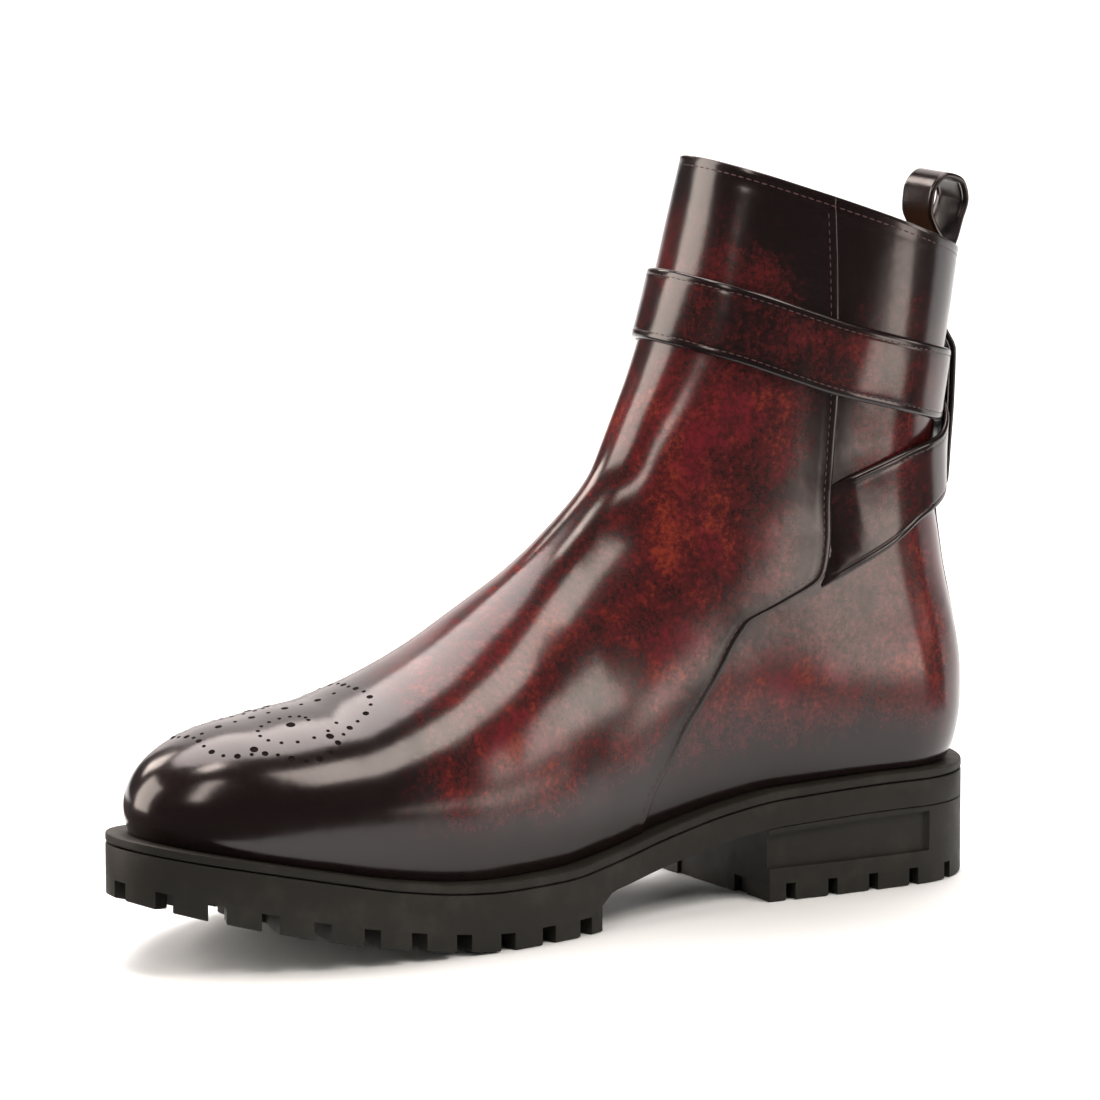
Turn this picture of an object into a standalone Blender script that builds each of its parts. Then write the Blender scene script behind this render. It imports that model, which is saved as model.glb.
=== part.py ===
"""Jodhpur boot, right foot: a hollow upper on a lugged rubber sole, with two wrap straps that cross at the heel.

World frame: metres, +Z up, toe towards -Y, +X to the inner (medial) side of the foot. The origin lies on the
floor under the middle of the heel. Inside this file sizes are millimetres, and a place on the boot is given
as (x, l, z), where l is the distance forward of the rearmost point of the sole: y = HEEL_MIDDLE - l.

The upper is one surface S(turn, rise). turn runs once round the boot: 0 at the back, 180 degrees at the
front, inner side first. rise runs from 0 at the feather line, where upper meets sole, to 1 at the collar.
"""

import math

import bmesh
import bpy
import numpy as np

MM = 0.001
GAP = 0.3  # air between pieces that touch
HEEL_MIDDLE = 43.0
SOLE_LENGTH = 306.0

# Sole thicknesses and levels
MIDSOLE_THICK = 3.0
WAIST_THICK = 8.2
LUG_DEEP = 5.5
HEEL_LENGTH = 86.0
FOREPART_START = 158.0  # where the lugged forepart ends behind the ball
TOE_SPRING = 22.5
SPRING_START = 190.0
SPRING_POWER = 1.4
LUG_WIDE = 10.0
GROOVE_WIDE = 5.4
GROOVE_LONG = 24.0
HEEL_GROOVE_LONG = 15.0

# Rounding of the sole's two ends
TOE_ROUND_START = 212.0
TOE_ROUND_POWER = 2.3
HEEL_ROUND = 33.0
HEEL_ROUND_POWER = 2.15

# Upper
WALL = 2.2
UPPER_TIP = 300.5
TUCK = 2.6  # how far the feather line is drawn in under the last
TUCK_HEIGHT = 6.0
TOE_BOX_START = 216.0
TOE_BOX_POWER = 2.4
BACK_POWER = 2.15
SAG_END = 0.34  # rise at which the sections have become flat
CHORD_ROOM = 0.15  # keeps the straight facets of the upper's foot off the welt's curve

# Straps and buckle
STRAP_WIDE = 22.5
STRAP_THICK = 2.0
CHAPE_THICK = 1.0
STRIP_WIDE = 17.0
STRIP_THICK = 1.8
BUCKLE_TURN = 249.0
BUCKLE_RISE = 0.834
BUCKLE_LONG = 27.0
BUCKLE_WIDE = 30.5
BAR = 2.0
BUCKLE_TALL = 4.2
REAR_BAR_WIDE = 4.2
FRAME_LOW = 2.0  # underside of the frame over the upper at the frame's middle
CENTRE_BAR_OUT = 2.2
CENTRE_BAR_THICK = 1.2
PRONG_THICK = 1.0
PRONG_WIDE = 1.8

PLAN = {  # outsole seen from above: l, middle line, half width before the ends are rounded
    "l": (0, 35, 60, 90, 120, 145, 165, 185, 205, 230, 250, 270, 290, 306),
    "middle": (0, -0.5, -1, -2.2, -3.3, -2.6, -1.8, -1.8, -2, -1.2, 1, 4, 8, 10.5),
    "half": (34, 33.8, 33.9, 33.2, 35.3, 39.8, 45.5, 49.3, 50.8, 51, 49.5, 46.5, 43, 40),
}
TOP_OF_SOLE = {  # l, height of the sole's upper face
    "l": (0, 40, 80, 100, 125, 150, 170, 190, 205, 230, 250, 270, 290, 306),
    "z": (36.4, 36.6, 35.2, 32.6, 27.6, 23, 21.4, 21.4, 22.2, 25.8, 30, 34.2, 38.2, 41.4),
}
LAST = {  # the last seen from above, before its ends are rounded
    "l": (-3, 35, 60, 90, 120, 145, 165, 185, 205, 230, 250, 270, 290, 301),
    "middle": (0, -0.5, -1, -2.2, -3.3, -2.6, -1.8, -1.8, -2, -1.2, 1, 4, 8, 10.2),
    "half": (33, 33.5, 33, 31.5, 33, 37, 42, 46, 48.2, 48.2, 47, 45, 41.5, 39),
}
RIDGE = {  # middle line of the instep's ridge: it leans to the inner side towards the toe
    "l": (90, 120, 150, 180, 210, 240, 275, 300),
    "x": (0, 1, 3, 5.5, 7.5, 8.5, 9.3, 10),
}
FRONT = {  # side view: shaft front, instep and vamp, toe without its rounding
    "l": (93.8, 103, 111.5, 119.5, 128.8, 141, 155.4, 171.7, 189.1, 206.4, 222.8, 238, 256, 272, 303),
    "z": (230.5, 195, 171.3, 154, 137, 124, 112.5, 102.2, 92.3, 84.2, 78.4, 75.2, 74.6, 74.6, 73.5),
}
BACK = {  # side view: heel curve and back of the shaft
    "z": (36, 45, 55, 65, 75, 85, 97, 110, 122, 135, 150, 165, 180, 195, 208),
    "l": (1.5, 0, -1, -0.9, 0.3, 2.4, 5.2, 7.4, 9.4, 10, 9.2, 7.3, 4.8, 2.4, 0.5),
}
BACK_ROUND = {"z": (36, 60, 110, 208), "deep": (32, 33, 36, 44)}
SHAFT = {  # half width of heel, ankle and shaft by height
    "z": (60, 90, 115, 140, 170, 200, 230),
    "half": (34, 31.5, 31.5, 34, 37.5, 38.5, 39),
}
FULLNESS = {  # power of the section's curve: 2 is an ellipse, more is squarer
    "l": (60, 120, 170, 210, 250, 300),
    "power": (2.0, 1.9, 1.95, 2.1, 2.4, 2.6),
}
SECTION_FRONTS = {  # where each section of the upper ends in front
    "rise": (0, 0.03, 0.06, 0.1, 0.15, 0.2, 0.26, 0.32, 0.38, 0.44, 0.5, 0.56, 0.62, 0.68, 0.75, 0.84, 0.92, 1),
    "l": (300.5, 299.9, 297.5, 293, 280, 263, 243, 223, 204, 186, 168, 151, 137, 126, 117, 107.3, 100, 93.8),
}
SECTION_BACKS = {  # and how high it stands at the back
    "rise": (0, 0.1, 0.2, 0.3, 0.4, 0.5, 0.6, 0.7, 0.8, 0.9, 1),
    "z": (36.7, 47, 59, 71, 83, 96, 111, 129, 150, 173, 196.5),
}
LONG_STRAP = {  # middle line from the outer seam round the back, inner side and front to the tip on the outer side
    "turn": (-82, -70, -58, -45, -30, -17, 0, 30, 71.5, 94, 110, 135, 161, 180, 199, 225, 249, 266, 288, 301),
    "rise": (0.57, 0.61, 0.665, 0.715, 0.766, 0.796, 0.811, 0.82, 0.826, 0.83, 0.836, 0.845, 0.849, 0.85, 0.849,
             0.844, 0.834, 0.826, 0.812, 0.802),
    "wide": (29, 27, 24, 22.5, 22.5, 22.5, 22.5, 22.5, 22.5, 22.5, 22.5, 22.5, 22.5, 22.5, 22.5, 22.5, 22.5, 22.5,
             22.5, 22.5),
}
SHORT_STRAP = {  # middle line from under the buckle round the back to the inner seam
    "turn": (-111, -94, -80, -55, -35, -17, 0, 30, 54.5, 70, 82),
    "rise": (0.834, 0.835, 0.835, 0.832, 0.82, 0.796, 0.768, 0.712, 0.669, 0.622, 0.575),
    "wide": (22.5, 22.5, 22.5, 22.5, 22.5, 22.5, 22.5, 22.5, 25, 28.5, 31),
}
SHORT_LIFT = {  # how far the short strap's inner face stands off: over the long strap at the back
    "turn": (-111, -88, -80, -64, -51, -44, 34, 42, 56, 82),
    "lift": (0.3, 0.3, 0.3, 0.5, 2.4, 2.7, 2.7, 2.4, 0.5, 0.3),
}
LONG_LIFT = {  # and the long strap's: over the centre bar, then over the short strap
    "turn": (-82, -40, 0, 180, 222, 228, 232, 236, 240, 244, 248, 252, 256, 260, 264, 268, 272, 284, 294, 301),
    "lift": (0.5, 0.4, 0.3, 0.3, 0.35, 0.75, 1.35, 2.2, 3.2, 4.1, 4.6, 4.4, 3.2, 2.2, 2.15, 2.4, 2.7, 2.8, 3.1, 3.7),
}
CHAPE = {  # the short strap's thin end, turned under round the centre bar: along the strap and out from the upper
    "along": (-6, -3, 0, 1.15, 1.5, 1.15, 0, -3, -6, -9, -12.5),
    "out": (0.8, 0.8, 0.8, 1.1, 2.2, 3.3, 3.65, 3.3, 2.1, 1.2, 1.05),
    "thick": (1, 1, 1, 1, 1, 1, 1, 1, 1, 1.1, 1.3),
}
PRONG = {  # the prong's middle line: hooked behind the centre bar, up through the strap, over the front bar
    "along": (-1.55, -1.6, -1.0, 0.3, 2.0, 4.6, 7.5, 10.5, 12.5, 15.0),
    "out": (1.5, 2.7, 3.5, 3.65, 3.75, 4.95, 6.2, 6.95, 7.0, 6.95),
}
STRIP_LIFT = {  # the back strip stands off where it holds the crossed straps
    "rise": (0.03, 0.6, 0.625, 0.672, 0.78, 0.868, 0.9, 0.92, 1),
    "lift": (0.3, 0.3, 0.6, 5.5, 7.0, 5.6, 0.8, 0.3, 0.3),
}
PULL_LOOP = {  # mid-line of the loop above the collar: forward of and above the collar's back edge
    "forward": (-1.8, -3.2, -5.2, -3.2, 2.6, 7.6, 8.2, 6.2, 3.5),
    "up": (4, 9, 15.5, 21.5, 23.4, 18.5, 12.5, 7.5, 3.6),
}


def curve(table, at, across="l", of="z"):
    """Smooth curve through a table's rows that never overshoots them; beyond its ends it runs on straight."""
    x = np.asarray(table[across], float)
    y = np.asarray(table[of], float)
    at = np.asarray(at, float)
    step = np.diff(x)
    slope = np.diff(y) / step
    knot = np.empty_like(y)
    knot[0], knot[-1] = slope[0], slope[-1]
    before, after = slope[:-1], slope[1:]
    heavy, light = 2 * step[1:] + step[:-1], step[1:] + 2 * step[:-1]
    same_way = before * after > 0
    safe_before = np.where(same_way, before, 1.0)
    safe_after = np.where(same_way, after, 1.0)
    mean = (heavy + light) / (heavy / safe_before + light / safe_after)
    knot[1:-1] = np.where(same_way, mean, 0.0)
    i = np.clip(np.searchsorted(x, at) - 1, 0, len(step) - 1)
    t = np.clip((at - x[i]) / step[i], 0, 1)
    rise = y[i] * (1 + 2 * t) * (1 - t) ** 2 + y[i + 1] * t**2 * (3 - 2 * t)
    rise += step[i] * (knot[i] * t * (1 - t) ** 2 + knot[i + 1] * t**2 * (t - 1))
    rise += np.minimum(at - x[0], 0) * knot[0] + np.maximum(at - x[-1], 0) * knot[-1]
    return rise


def ease(t):
    """0 to 1 with flat ends."""
    t = np.clip(t, 0, 1)
    return t * t * (3 - 2 * t)


# ---------------------------------------------------------------- the sole's own curves


def sole_edge(l, inset=0.0):
    """Middle line and half width of the sole at l, its ends rounded, drawn in by inset all round."""
    span = (l - inset) * SOLE_LENGTH / (SOLE_LENGTH - 2 * inset)
    toe = np.clip((span - TOE_ROUND_START) / (SOLE_LENGTH - TOE_ROUND_START), 0, 1) ** TOE_ROUND_POWER
    heel = np.clip(1 - span / HEEL_ROUND, 0, 1) ** HEEL_ROUND_POWER
    half = (curve(PLAN, span, of="half") - inset) * np.sqrt(np.clip(1 - toe - heel, 0, 1))
    return curve(PLAN, span, of="middle"), half


def sole_top(l):
    return curve(TOP_OF_SOLE, l)


def tread(l):
    """Height of the lugs' lower faces under the forepart: flat, then the toe spring."""
    ahead = np.clip((l - SPRING_START) / (SOLE_LENGTH - SPRING_START), 0, None)
    return TOE_SPRING * ahead**SPRING_POWER


def outsole_top(l):
    return sole_top(l) - MIDSOLE_THICK - GAP


def outsole_bottom(l):
    """Thin over the heel block and through the waist, down to the tread in the forepart."""
    waist = outsole_top(l) - WAIST_THICK
    return np.where(l > FOREPART_START, tread(l), waist)


def heel_top(l):
    return outsole_top(l) - WAIST_THICK - GAP


# ---------------------------------------------------------------- the upper's surface


def feather(l):
    """Height of the upper's lower edge."""
    return sole_top(l) + GAP


def last_terms(l, z):
    """The three shares that close a section: its height, the toe's rounding and the heel's rounding."""
    low = feather(l)
    height = np.clip((z - low) / (curve(FRONT, l) - low), 0, None) * ease((l - 15) / 60)
    toe = np.clip((l - TOE_BOX_START) / (UPPER_TIP - TOE_BOX_START), 0, None) ** TOE_BOX_POWER
    depth = curve(BACK_ROUND, z, "z", "deep")
    heel = np.clip(1 - (l - curve(BACK, z, "z", "l")) / depth, 0, None) ** BACK_POWER
    return height, toe, heel


def fullness(l):
    return curve(FULLNESS, np.clip(l, 60, 300), of="power")


def section_ends(rise):
    """(l, z) of the back end and of the front end of the section at this rise."""
    back_z = curve(SECTION_BACKS, rise, "rise", "z")
    front_l = curve(SECTION_FRONTS, rise, "rise", "l")
    low = feather(front_l)
    toe = np.clip((front_l - TOE_BOX_START) / (UPPER_TIP - TOE_BOX_START), 0, 1) ** TOE_BOX_POWER
    front_z = low + (curve(FRONT, front_l) - low) * (1 - toe) ** (1 / fullness(front_l))
    return curve(BACK, back_z, "z", "l"), back_z, front_l, front_z


def last_surface(turn, rise):
    """Point (x, l, z) of the lasted upper before the feather line is drawn in. turn is in radians."""
    share = (1 - np.cos(turn)) / 2
    back_l, back_z, front_l, front_z = section_ends(rise)
    l = back_l + (front_l - back_l) * share
    z = back_z + (front_z - back_z) * share
    low_l, low_z, tip_l, tip_z = section_ends(np.zeros_like(rise))
    straight = low_z + (tip_z - low_z) * np.clip((l - low_l) / (tip_l - low_l), 0, 1)
    z = z + (feather(l) - straight) * np.clip(1 - rise / SAG_END, 0, 1) ** 1.5
    height, toe, heel = last_terms(l, z)
    open_part = np.sqrt(np.clip(1 - height ** fullness(l) - toe - heel, 0, None))
    to_shaft = ease((z - 45) / 75) * ease((185 - l) / 80)
    half = curve(LAST, l, of="half") * (1 - to_shaft) + curve(SHAFT, z, "z", "half") * to_shaft
    upright = ease((z - 40) / 70) * ease((190 - l) / 80)
    foot_middle = curve(LAST, l, of="middle") * (1 - upright)
    lean = ease(height)
    middle = foot_middle * (1 - lean) + curve(RIDGE, np.clip(l, 90, 300), of="x") * lean
    side = np.where(np.sin(turn) >= 0, 1.0, -1.0)
    return np.stack([middle + side * half * open_part, l, z], -1)


def feather_outward(turn):
    """Level unit vector that points out of the feather line."""
    flat = np.zeros_like(turn)
    along = (last_surface(turn + 0.001, flat) - last_surface(turn - 0.001, flat))[..., :2]
    out = np.stack([along[..., 1], -along[..., 0]], -1)
    return out / np.linalg.norm(out, axis=-1, keepdims=True)


def upper_surface(turn, rise):
    """Point (x, l, z) of the upper's outer face."""
    point = last_surface(turn, rise)
    lasted = feather(point[..., 1])
    share = np.exp(-np.clip(point[..., 2] - lasted, 0, None) / TUCK_HEIGHT)
    point[..., :2] -= feather_outward(turn) * TUCK * share[..., None]
    point[..., 2] += (feather(point[..., 1]) - lasted) * share
    return point


def upper_slopes(turn, rise, step=0.002):
    """Derivatives of the upper's face along turn and along rise."""
    low, high = np.clip(rise - step, 0, 1), np.clip(rise + step, 0, 1)
    by_turn = (upper_surface(turn + step, rise) - upper_surface(turn - step, rise)) / (2 * step)
    by_rise = (upper_surface(turn, high) - upper_surface(turn, low)) / (high - low)[..., None]
    return by_turn, by_rise


def upper_outward(turn, rise):
    by_turn, by_rise = upper_slopes(turn, rise)
    out = np.cross(by_turn, by_rise)
    return out / np.linalg.norm(out, axis=-1, keepdims=True)


def off_upper(turn, rise, lift):
    return upper_surface(turn, rise) + upper_outward(turn, rise) * np.asarray(lift)[..., None]


# ---------------------------------------------------------------- making meshes


def to_world(points):
    points = np.asarray(points, float)
    return np.stack([points[..., 0], HEEL_MIDDLE - points[..., 1], points[..., 2]], -1) * MM


def material(name, colour, roughness, metallic=0.0):
    made = bpy.data.materials.new(name)
    made.use_nodes = True
    shader = made.node_tree.nodes["Principled BSDF"]
    shader.inputs["Base Color"].default_value = (*colour, 1)
    shader.inputs["Roughness"].default_value = roughness
    shader.inputs["Metallic"].default_value = metallic
    return made


def solid(name, points, faces, finish, smooth=True):
    """Object of this name from points in boot millimetres, its faces turned outwards."""
    mesh = bpy.data.meshes.new(name)
    mesh.from_pydata([tuple(p) for p in to_world(points)], [], [tuple(map(int, f)) for f in faces])
    work = bmesh.new()
    work.from_mesh(mesh)
    bmesh.ops.recalc_face_normals(work, faces=work.faces)
    if work.calc_volume(signed=True) < 0:
        bmesh.ops.reverse_faces(work, faces=work.faces)
    work.to_mesh(mesh)
    work.free()
    if smooth:
        mesh.shade_smooth()
        mesh.set_sharp_from_angle(angle=math.radians(35))
    mesh.materials.append(finish)
    made = bpy.data.objects.new(name, mesh)
    bpy.context.scene.collection.objects.link(made)
    return made


def grid_faces(rows, columns, start=0, wrap=False, flip=False):
    """Quads of a grid of rows x columns points, numbered from start; wrap joins the last column to the first."""
    i, j = np.meshgrid(np.arange(rows - 1), np.arange(columns if wrap else columns - 1), indexing="ij")
    k = (j + 1) % columns
    quads = np.stack([i * columns + j, i * columns + k, (i + 1) * columns + k, (i + 1) * columns + j], -1)
    quads = quads.reshape(-1, 4) + start
    return quads[:, ::-1] if flip else quads


def band_between(ring, other):
    """Quads that join two rows of point numbers."""
    return np.stack([ring[:-1], ring[1:], other[1:], other[:-1]], -1)


def shell(name, outer, inner, finish, wrap=False):
    """Closed solid between two grids of the same shape, joined along their open edges."""
    rows, columns = outer.shape[:2]
    count = rows * columns
    numbers = np.arange(count).reshape(rows, columns)
    faces = [grid_faces(rows, columns, 0, wrap), grid_faces(rows, columns, count, wrap, flip=True)]
    edges = [numbers[0], numbers[-1][::-1]]
    if wrap:
        edges = [np.append(edge, edge[0]) for edge in edges]
    else:
        edges += [numbers[::-1, 0], numbers[:, -1]]
    faces += [band_between(edge, edge + count) for edge in edges]
    points = np.concatenate([outer.reshape(-1, 3), inner.reshape(-1, 3)])
    return solid(name, points, [face for group in faces for face in group], finish)


def sheet_normals(sheet):
    """Unit normals of a grid of points, by central differences."""
    down, right = np.gradient(sheet, axis=0), np.gradient(sheet, axis=1)
    out = np.cross(down, right)
    return out / np.linalg.norm(out, axis=-1, keepdims=True)


def thick_sheet(name, middle, thickness, finish):
    """Closed solid of this thickness round a grid of points."""
    out = sheet_normals(middle) * thickness / 2
    return shell(name, middle + out, middle - out, finish)


def plate(name, stations, edge, top, bottom, finish):
    """Plate of the sole: edge(l) gives middle and half width, top(l) and bottom(l) its faces' heights."""
    l = np.asarray(stations, float)
    middle, half = edge(l)
    closed_ends = half < 0.01
    right = np.stack([middle + half, l], -1)
    left = np.stack([middle - half, l], -1)[::-1]
    left = left[int(closed_ends[-1]) : len(left) - int(closed_ends[0])]
    ring = np.concatenate([right, left])
    count = len(ring)
    points = np.concatenate([np.column_stack([ring, face(ring[:, 1])]) for face in (top, bottom)])
    faces = [(i, (i + 1) % count, (i + 1) % count + count, i + count) for i in range(count)]
    mirror = {i: (count - i) % count if closed_ends[0] else count - 1 - i for i in range(len(l))}
    for i in range(len(l) - 1):
        rung = list(dict.fromkeys([i, i + 1, mirror[i + 1], mirror[i]]))
        faces.append(tuple(rung[::-1]))
        faces.append(tuple(number + count for number in rung))
    return solid(name, points, faces, finish, smooth=False)


def box_mesh(boxes):
    """Points and quads of boxes, each (centre, three half-edge vectors)."""
    corners = np.array([(a, b, c) for a in (-1, 1) for b in (-1, 1) for c in (-1, 1)], float)
    quads = np.array([(0, 1, 3, 2), (4, 6, 7, 5), (0, 4, 5, 1), (2, 3, 7, 6), (0, 2, 6, 4), (1, 5, 7, 3)])
    points = np.concatenate([np.asarray(centre) + corners @ np.asarray(edges) for centre, edges in boxes])
    faces = np.concatenate([quads + 8 * i for i in range(len(boxes))])
    return points, faces


def cutter(made):
    made.hide_render = True
    made.display_type = "WIRE"
    return made


def combine(target, other, operation, self_crossing=False):
    """Boolean of two objects; other stays as a guide. self_crossing is for guides whose own solids overlap."""
    cut = target.modifiers.new(other.name, "BOOLEAN")
    cut.operation = operation
    cut.use_self = self_crossing
    cut.object = cutter(other)


def stations(start, end, count):
    """Stations along the sole, closer together where its ends are round."""
    angle = np.linspace(0, math.pi, count)
    whole = SOLE_LENGTH * (1 - np.cos(angle)) / 2
    inside = whole[(whole > start + 1) & (whole < end - 1)]
    return np.concatenate([[start], inside, [end]])


# ---------------------------------------------------------------- the pieces


def edge_walk(start, end, spacing, inset=0.0):
    """Places every spacing mm along the sole's edge between two turns: (x, l) and the level inward direction."""
    turn = np.linspace(start, end, 2000)
    l = SOLE_LENGTH * (1 - np.cos(turn)) / 2
    middle, half = sole_edge(l)
    path = np.stack([middle + np.where(np.sin(turn) >= 0, 1, -1) * half, l], -1)
    walked = np.concatenate([[0], np.cumsum(np.linalg.norm(np.diff(path, axis=0), axis=1))])
    count = int(walked[-1] // spacing)
    at = (np.arange(count) + 0.5) * walked[-1] / count
    place = np.stack([np.interp(at, walked, path[:, k]) for k in (0, 1)], -1)
    ahead = np.stack([np.interp(at + 1, walked, path[:, k]) for k in (0, 1)], -1) - place
    inward = np.stack([-ahead[:, 1], ahead[:, 0]], -1)
    inward /= np.linalg.norm(inward, axis=1, keepdims=True)
    return place, inward


def groove_boxes(places, inwards, long, floor, slope):
    """Boxes that cut radial grooves: floor(l) is the groove's upper face, slope(l) how steeply it rises."""
    boxes = []
    outside, below = 6.0, 6.0
    for place, inward in zip(places, inwards):
        centre = place + inward * (long - outside) / 2
        tall = (LUG_DEEP + below) / 2
        tilt = slope(centre[1])
        along = np.array([inward[0], inward[1], inward[1] * tilt]) * (long + outside) / 2
        across = np.array([-inward[1], inward[0], inward[0] * tilt]) * GROOVE_WIDE / 2
        up = np.array([0, 0, tall])
        boxes.append(((centre[0], centre[1], floor(centre[1]) - tall), (along, across, up)))
    return boxes


def build_outsole(finish):
    whole = stations(0, SOLE_LENGTH, 61)
    whole = np.sort(np.append(whole[np.abs(whole - FOREPART_START) > 2], [FOREPART_START, FOREPART_START + 1]))
    outsole = plate("outsole", whole, sole_edge, outsole_top, outsole_bottom, finish)

    def spring_slope(l):
        return float(tread(l + 0.5) - tread(l - 0.5))

    def groove_floor(l):
        return tread(l) + LUG_DEEP

    back_turn = math.acos(1 - 2 * (FOREPART_START + 6) / SOLE_LENGTH)
    places, inwards = edge_walk(back_turn, 2 * math.pi - back_turn, LUG_WIDE + GROOVE_WIDE)
    points, faces = box_mesh(groove_boxes(places, inwards, GROOVE_LONG, groove_floor, spring_slope))
    combine(outsole, solid("forepart_grooves", points, faces, finish, smooth=False), "DIFFERENCE", True)

    def pocket_edge(l):
        middle, half = sole_edge(l)
        return middle, np.maximum(half - GROOVE_LONG + 1.5, 4)

    pocket = plate("forepart_pocket", np.linspace(FOREPART_START + 14, SOLE_LENGTH - 27, 14), pocket_edge,
                   groove_floor, lambda l: tread(l) - 4, finish)
    combine(outsole, pocket, "DIFFERENCE")
    studs = []
    for row, l in enumerate(np.linspace(FOREPART_START + 25, SOLE_LENGTH - 44, 7)):
        middle = curve(PLAN, l, of="middle") + (9 if row % 2 else -9)
        tilt = spring_slope(l)
        edges = ((5, 0, 0), (0, 5, 5 * tilt), (0, 0, LUG_DEEP / 2 + 0.5))
        studs.append(((middle, l, tread(l) + LUG_DEEP / 2 + 0.5), edges))
    points, faces = box_mesh(studs)
    combine(outsole, solid("forepart_studs", points, faces, finish, smooth=False), "UNION")
    return outsole


def build_heel(finish):
    heel = plate("heel", stations(0, HEEL_LENGTH, 61), sole_edge, heel_top, lambda l: 0 * l, finish)
    end_turn = math.acos(1 - 2 * (HEEL_LENGTH - 9) / SOLE_LENGTH)
    places, inwards = edge_walk(-end_turn, end_turn, LUG_WIDE + GROOVE_WIDE)
    boxes = groove_boxes(places, inwards, HEEL_GROOVE_LONG, lambda l: LUG_DEEP, lambda l: 0.0)
    points, faces = box_mesh(boxes)
    combine(heel, solid("heel_grooves", points, faces, finish, smooth=False), "DIFFERENCE", True)
    return heel


def build_midsole(finish):
    return plate("midsole", stations(0, SOLE_LENGTH, 61), sole_edge, sole_top,
                 lambda l: sole_top(l) - MIDSOLE_THICK, finish)


def build_insole(finish):
    """Follows the feather line, clear of the wall's inner face."""
    turn = np.linspace(0, 2 * math.pi, 73)[:-1]
    ring = last_surface(turn, np.zeros_like(turn))[:, :2] - feather_outward(turn) * (TUCK + WALL + 0.6)
    thick = 2.6
    count = len(ring)
    low = np.column_stack([ring, feather(ring[:, 1])])
    points = np.concatenate([low + (0, 0, thick), low])
    faces = [(i, (i + 1) % count, (i + 1) % count + count, i + count) for i in range(count)]
    for i in range(count // 2):
        rung = list(dict.fromkeys([i, i + 1, (count - i - 1) % count, (count - i) % count]))
        faces += [tuple(rung[::-1]), tuple(number + count for number in rung)]
    return solid("insole", points, faces, finish, smooth=False)


def build_upper(finish):
    levels = np.array([0, 0.02, 0.045, 0.08, *np.linspace(0.12, 1, 21)])
    rise, turn = np.meshgrid(levels, np.linspace(0, 2 * math.pi, 49)[:-1], indexing="ij")
    outer = upper_surface(turn, rise)
    inner = outer - upper_outward(turn, rise) * WALL
    for ring in (outer[0], inner[0]):
        ring[:, 2] = feather(ring[:, 1]) + CHORD_ROOM
    return shell("upper", outer, inner, finish, wrap=True)


def band_on_upper(turn, rise, half_width, lift, lines):
    """Mid-sheet of a strap: its middle follows (turn, rise), and lift is its height over the upper.

    From the middle each line walks out over the surface in short steps, square to the strap's run.
    """
    run = np.gradient(upper_surface(turn, rise), axis=0)
    run /= np.linalg.norm(run, axis=1, keepdims=True)
    steps = 6
    sheet = np.empty((len(turn), len(lines), 3))
    for number, line in enumerate(lines):
        at_turn, at_rise = turn.copy(), rise.copy()
        for _ in range(steps):
            by_turn, by_rise = upper_slopes(at_turn, at_rise)
            out = np.cross(by_turn, by_rise)
            across = np.cross(out, run)
            across *= (line * half_width / steps / np.linalg.norm(across, axis=1))[:, None]
            tt, rr, tr = (by_turn**2).sum(1), (by_rise**2).sum(1), (by_turn * by_rise).sum(1)
            t, r = (by_turn * across).sum(1), (by_rise * across).sum(1)
            determinant = tt * rr - tr**2
            at_turn = at_turn + (t * rr - r * tr) / determinant
            at_rise = at_rise + (r * tt - t * tr) / determinant
        sheet[:, number] = off_upper(at_turn, at_rise, lift)
    return sheet


def strap_path(table, lift_table, count):
    turn = np.linspace(table["turn"][0], table["turn"][-1], count)
    rise, wide = (curve(table, turn, "turn", column) for column in ("rise", "wide"))
    return np.radians(turn), rise, wide / 2, curve(lift_table, turn, "turn", "lift")


LINES = (-1, -0.5, 0, 0.5, 1)  # lines across a strap, edge to edge


def build_long_strap(finish):
    turn, rise, half_width, lift = strap_path(LONG_STRAP, LONG_LIFT, 100)
    run = np.linalg.norm(np.gradient(upper_surface(turn, rise), axis=0), axis=1)
    to_tip = (np.cumsum(run[::-1]) - run[-1])[::-1]
    round_off = np.clip(1 - to_tip / (STRAP_WIDE / 2), 0, 1)
    half_width = half_width * np.sqrt(1 - round_off**2 * 0.97)
    sheet = band_on_upper(turn, rise, half_width, lift + STRAP_THICK / 2, LINES)
    strap = thick_sheet("long_strap", sheet, STRAP_THICK, finish)
    centre, along, across, out = buckle_frame_axes()
    hole = (centre + along * 4.6 + out * 5, np.array((along * 3.1, across * 1.4, out * 5)))
    points, faces = box_mesh([hole])
    combine(strap, solid("prong_hole", points, faces, finish, smooth=False), "DIFFERENCE", True)
    return strap


def buckle_frame_axes():
    """Middle of the buckle on the upper, and unit vectors along the strap to the front, upwards across it, and outwards."""
    turn, rise = np.array([math.radians(BUCKLE_TURN)]), np.array([BUCKLE_RISE])
    out = upper_outward(turn, rise)[0]
    step = np.radians([1.0])
    ahead = curve(LONG_STRAP, BUCKLE_TURN - 1, "turn", "rise")
    along = (upper_surface(turn - step, np.array([ahead])) - upper_surface(turn, rise))[0]
    along -= out * (along @ out)
    along /= np.linalg.norm(along)
    return upper_surface(turn, rise)[0], along, np.cross(along, out), out


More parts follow.
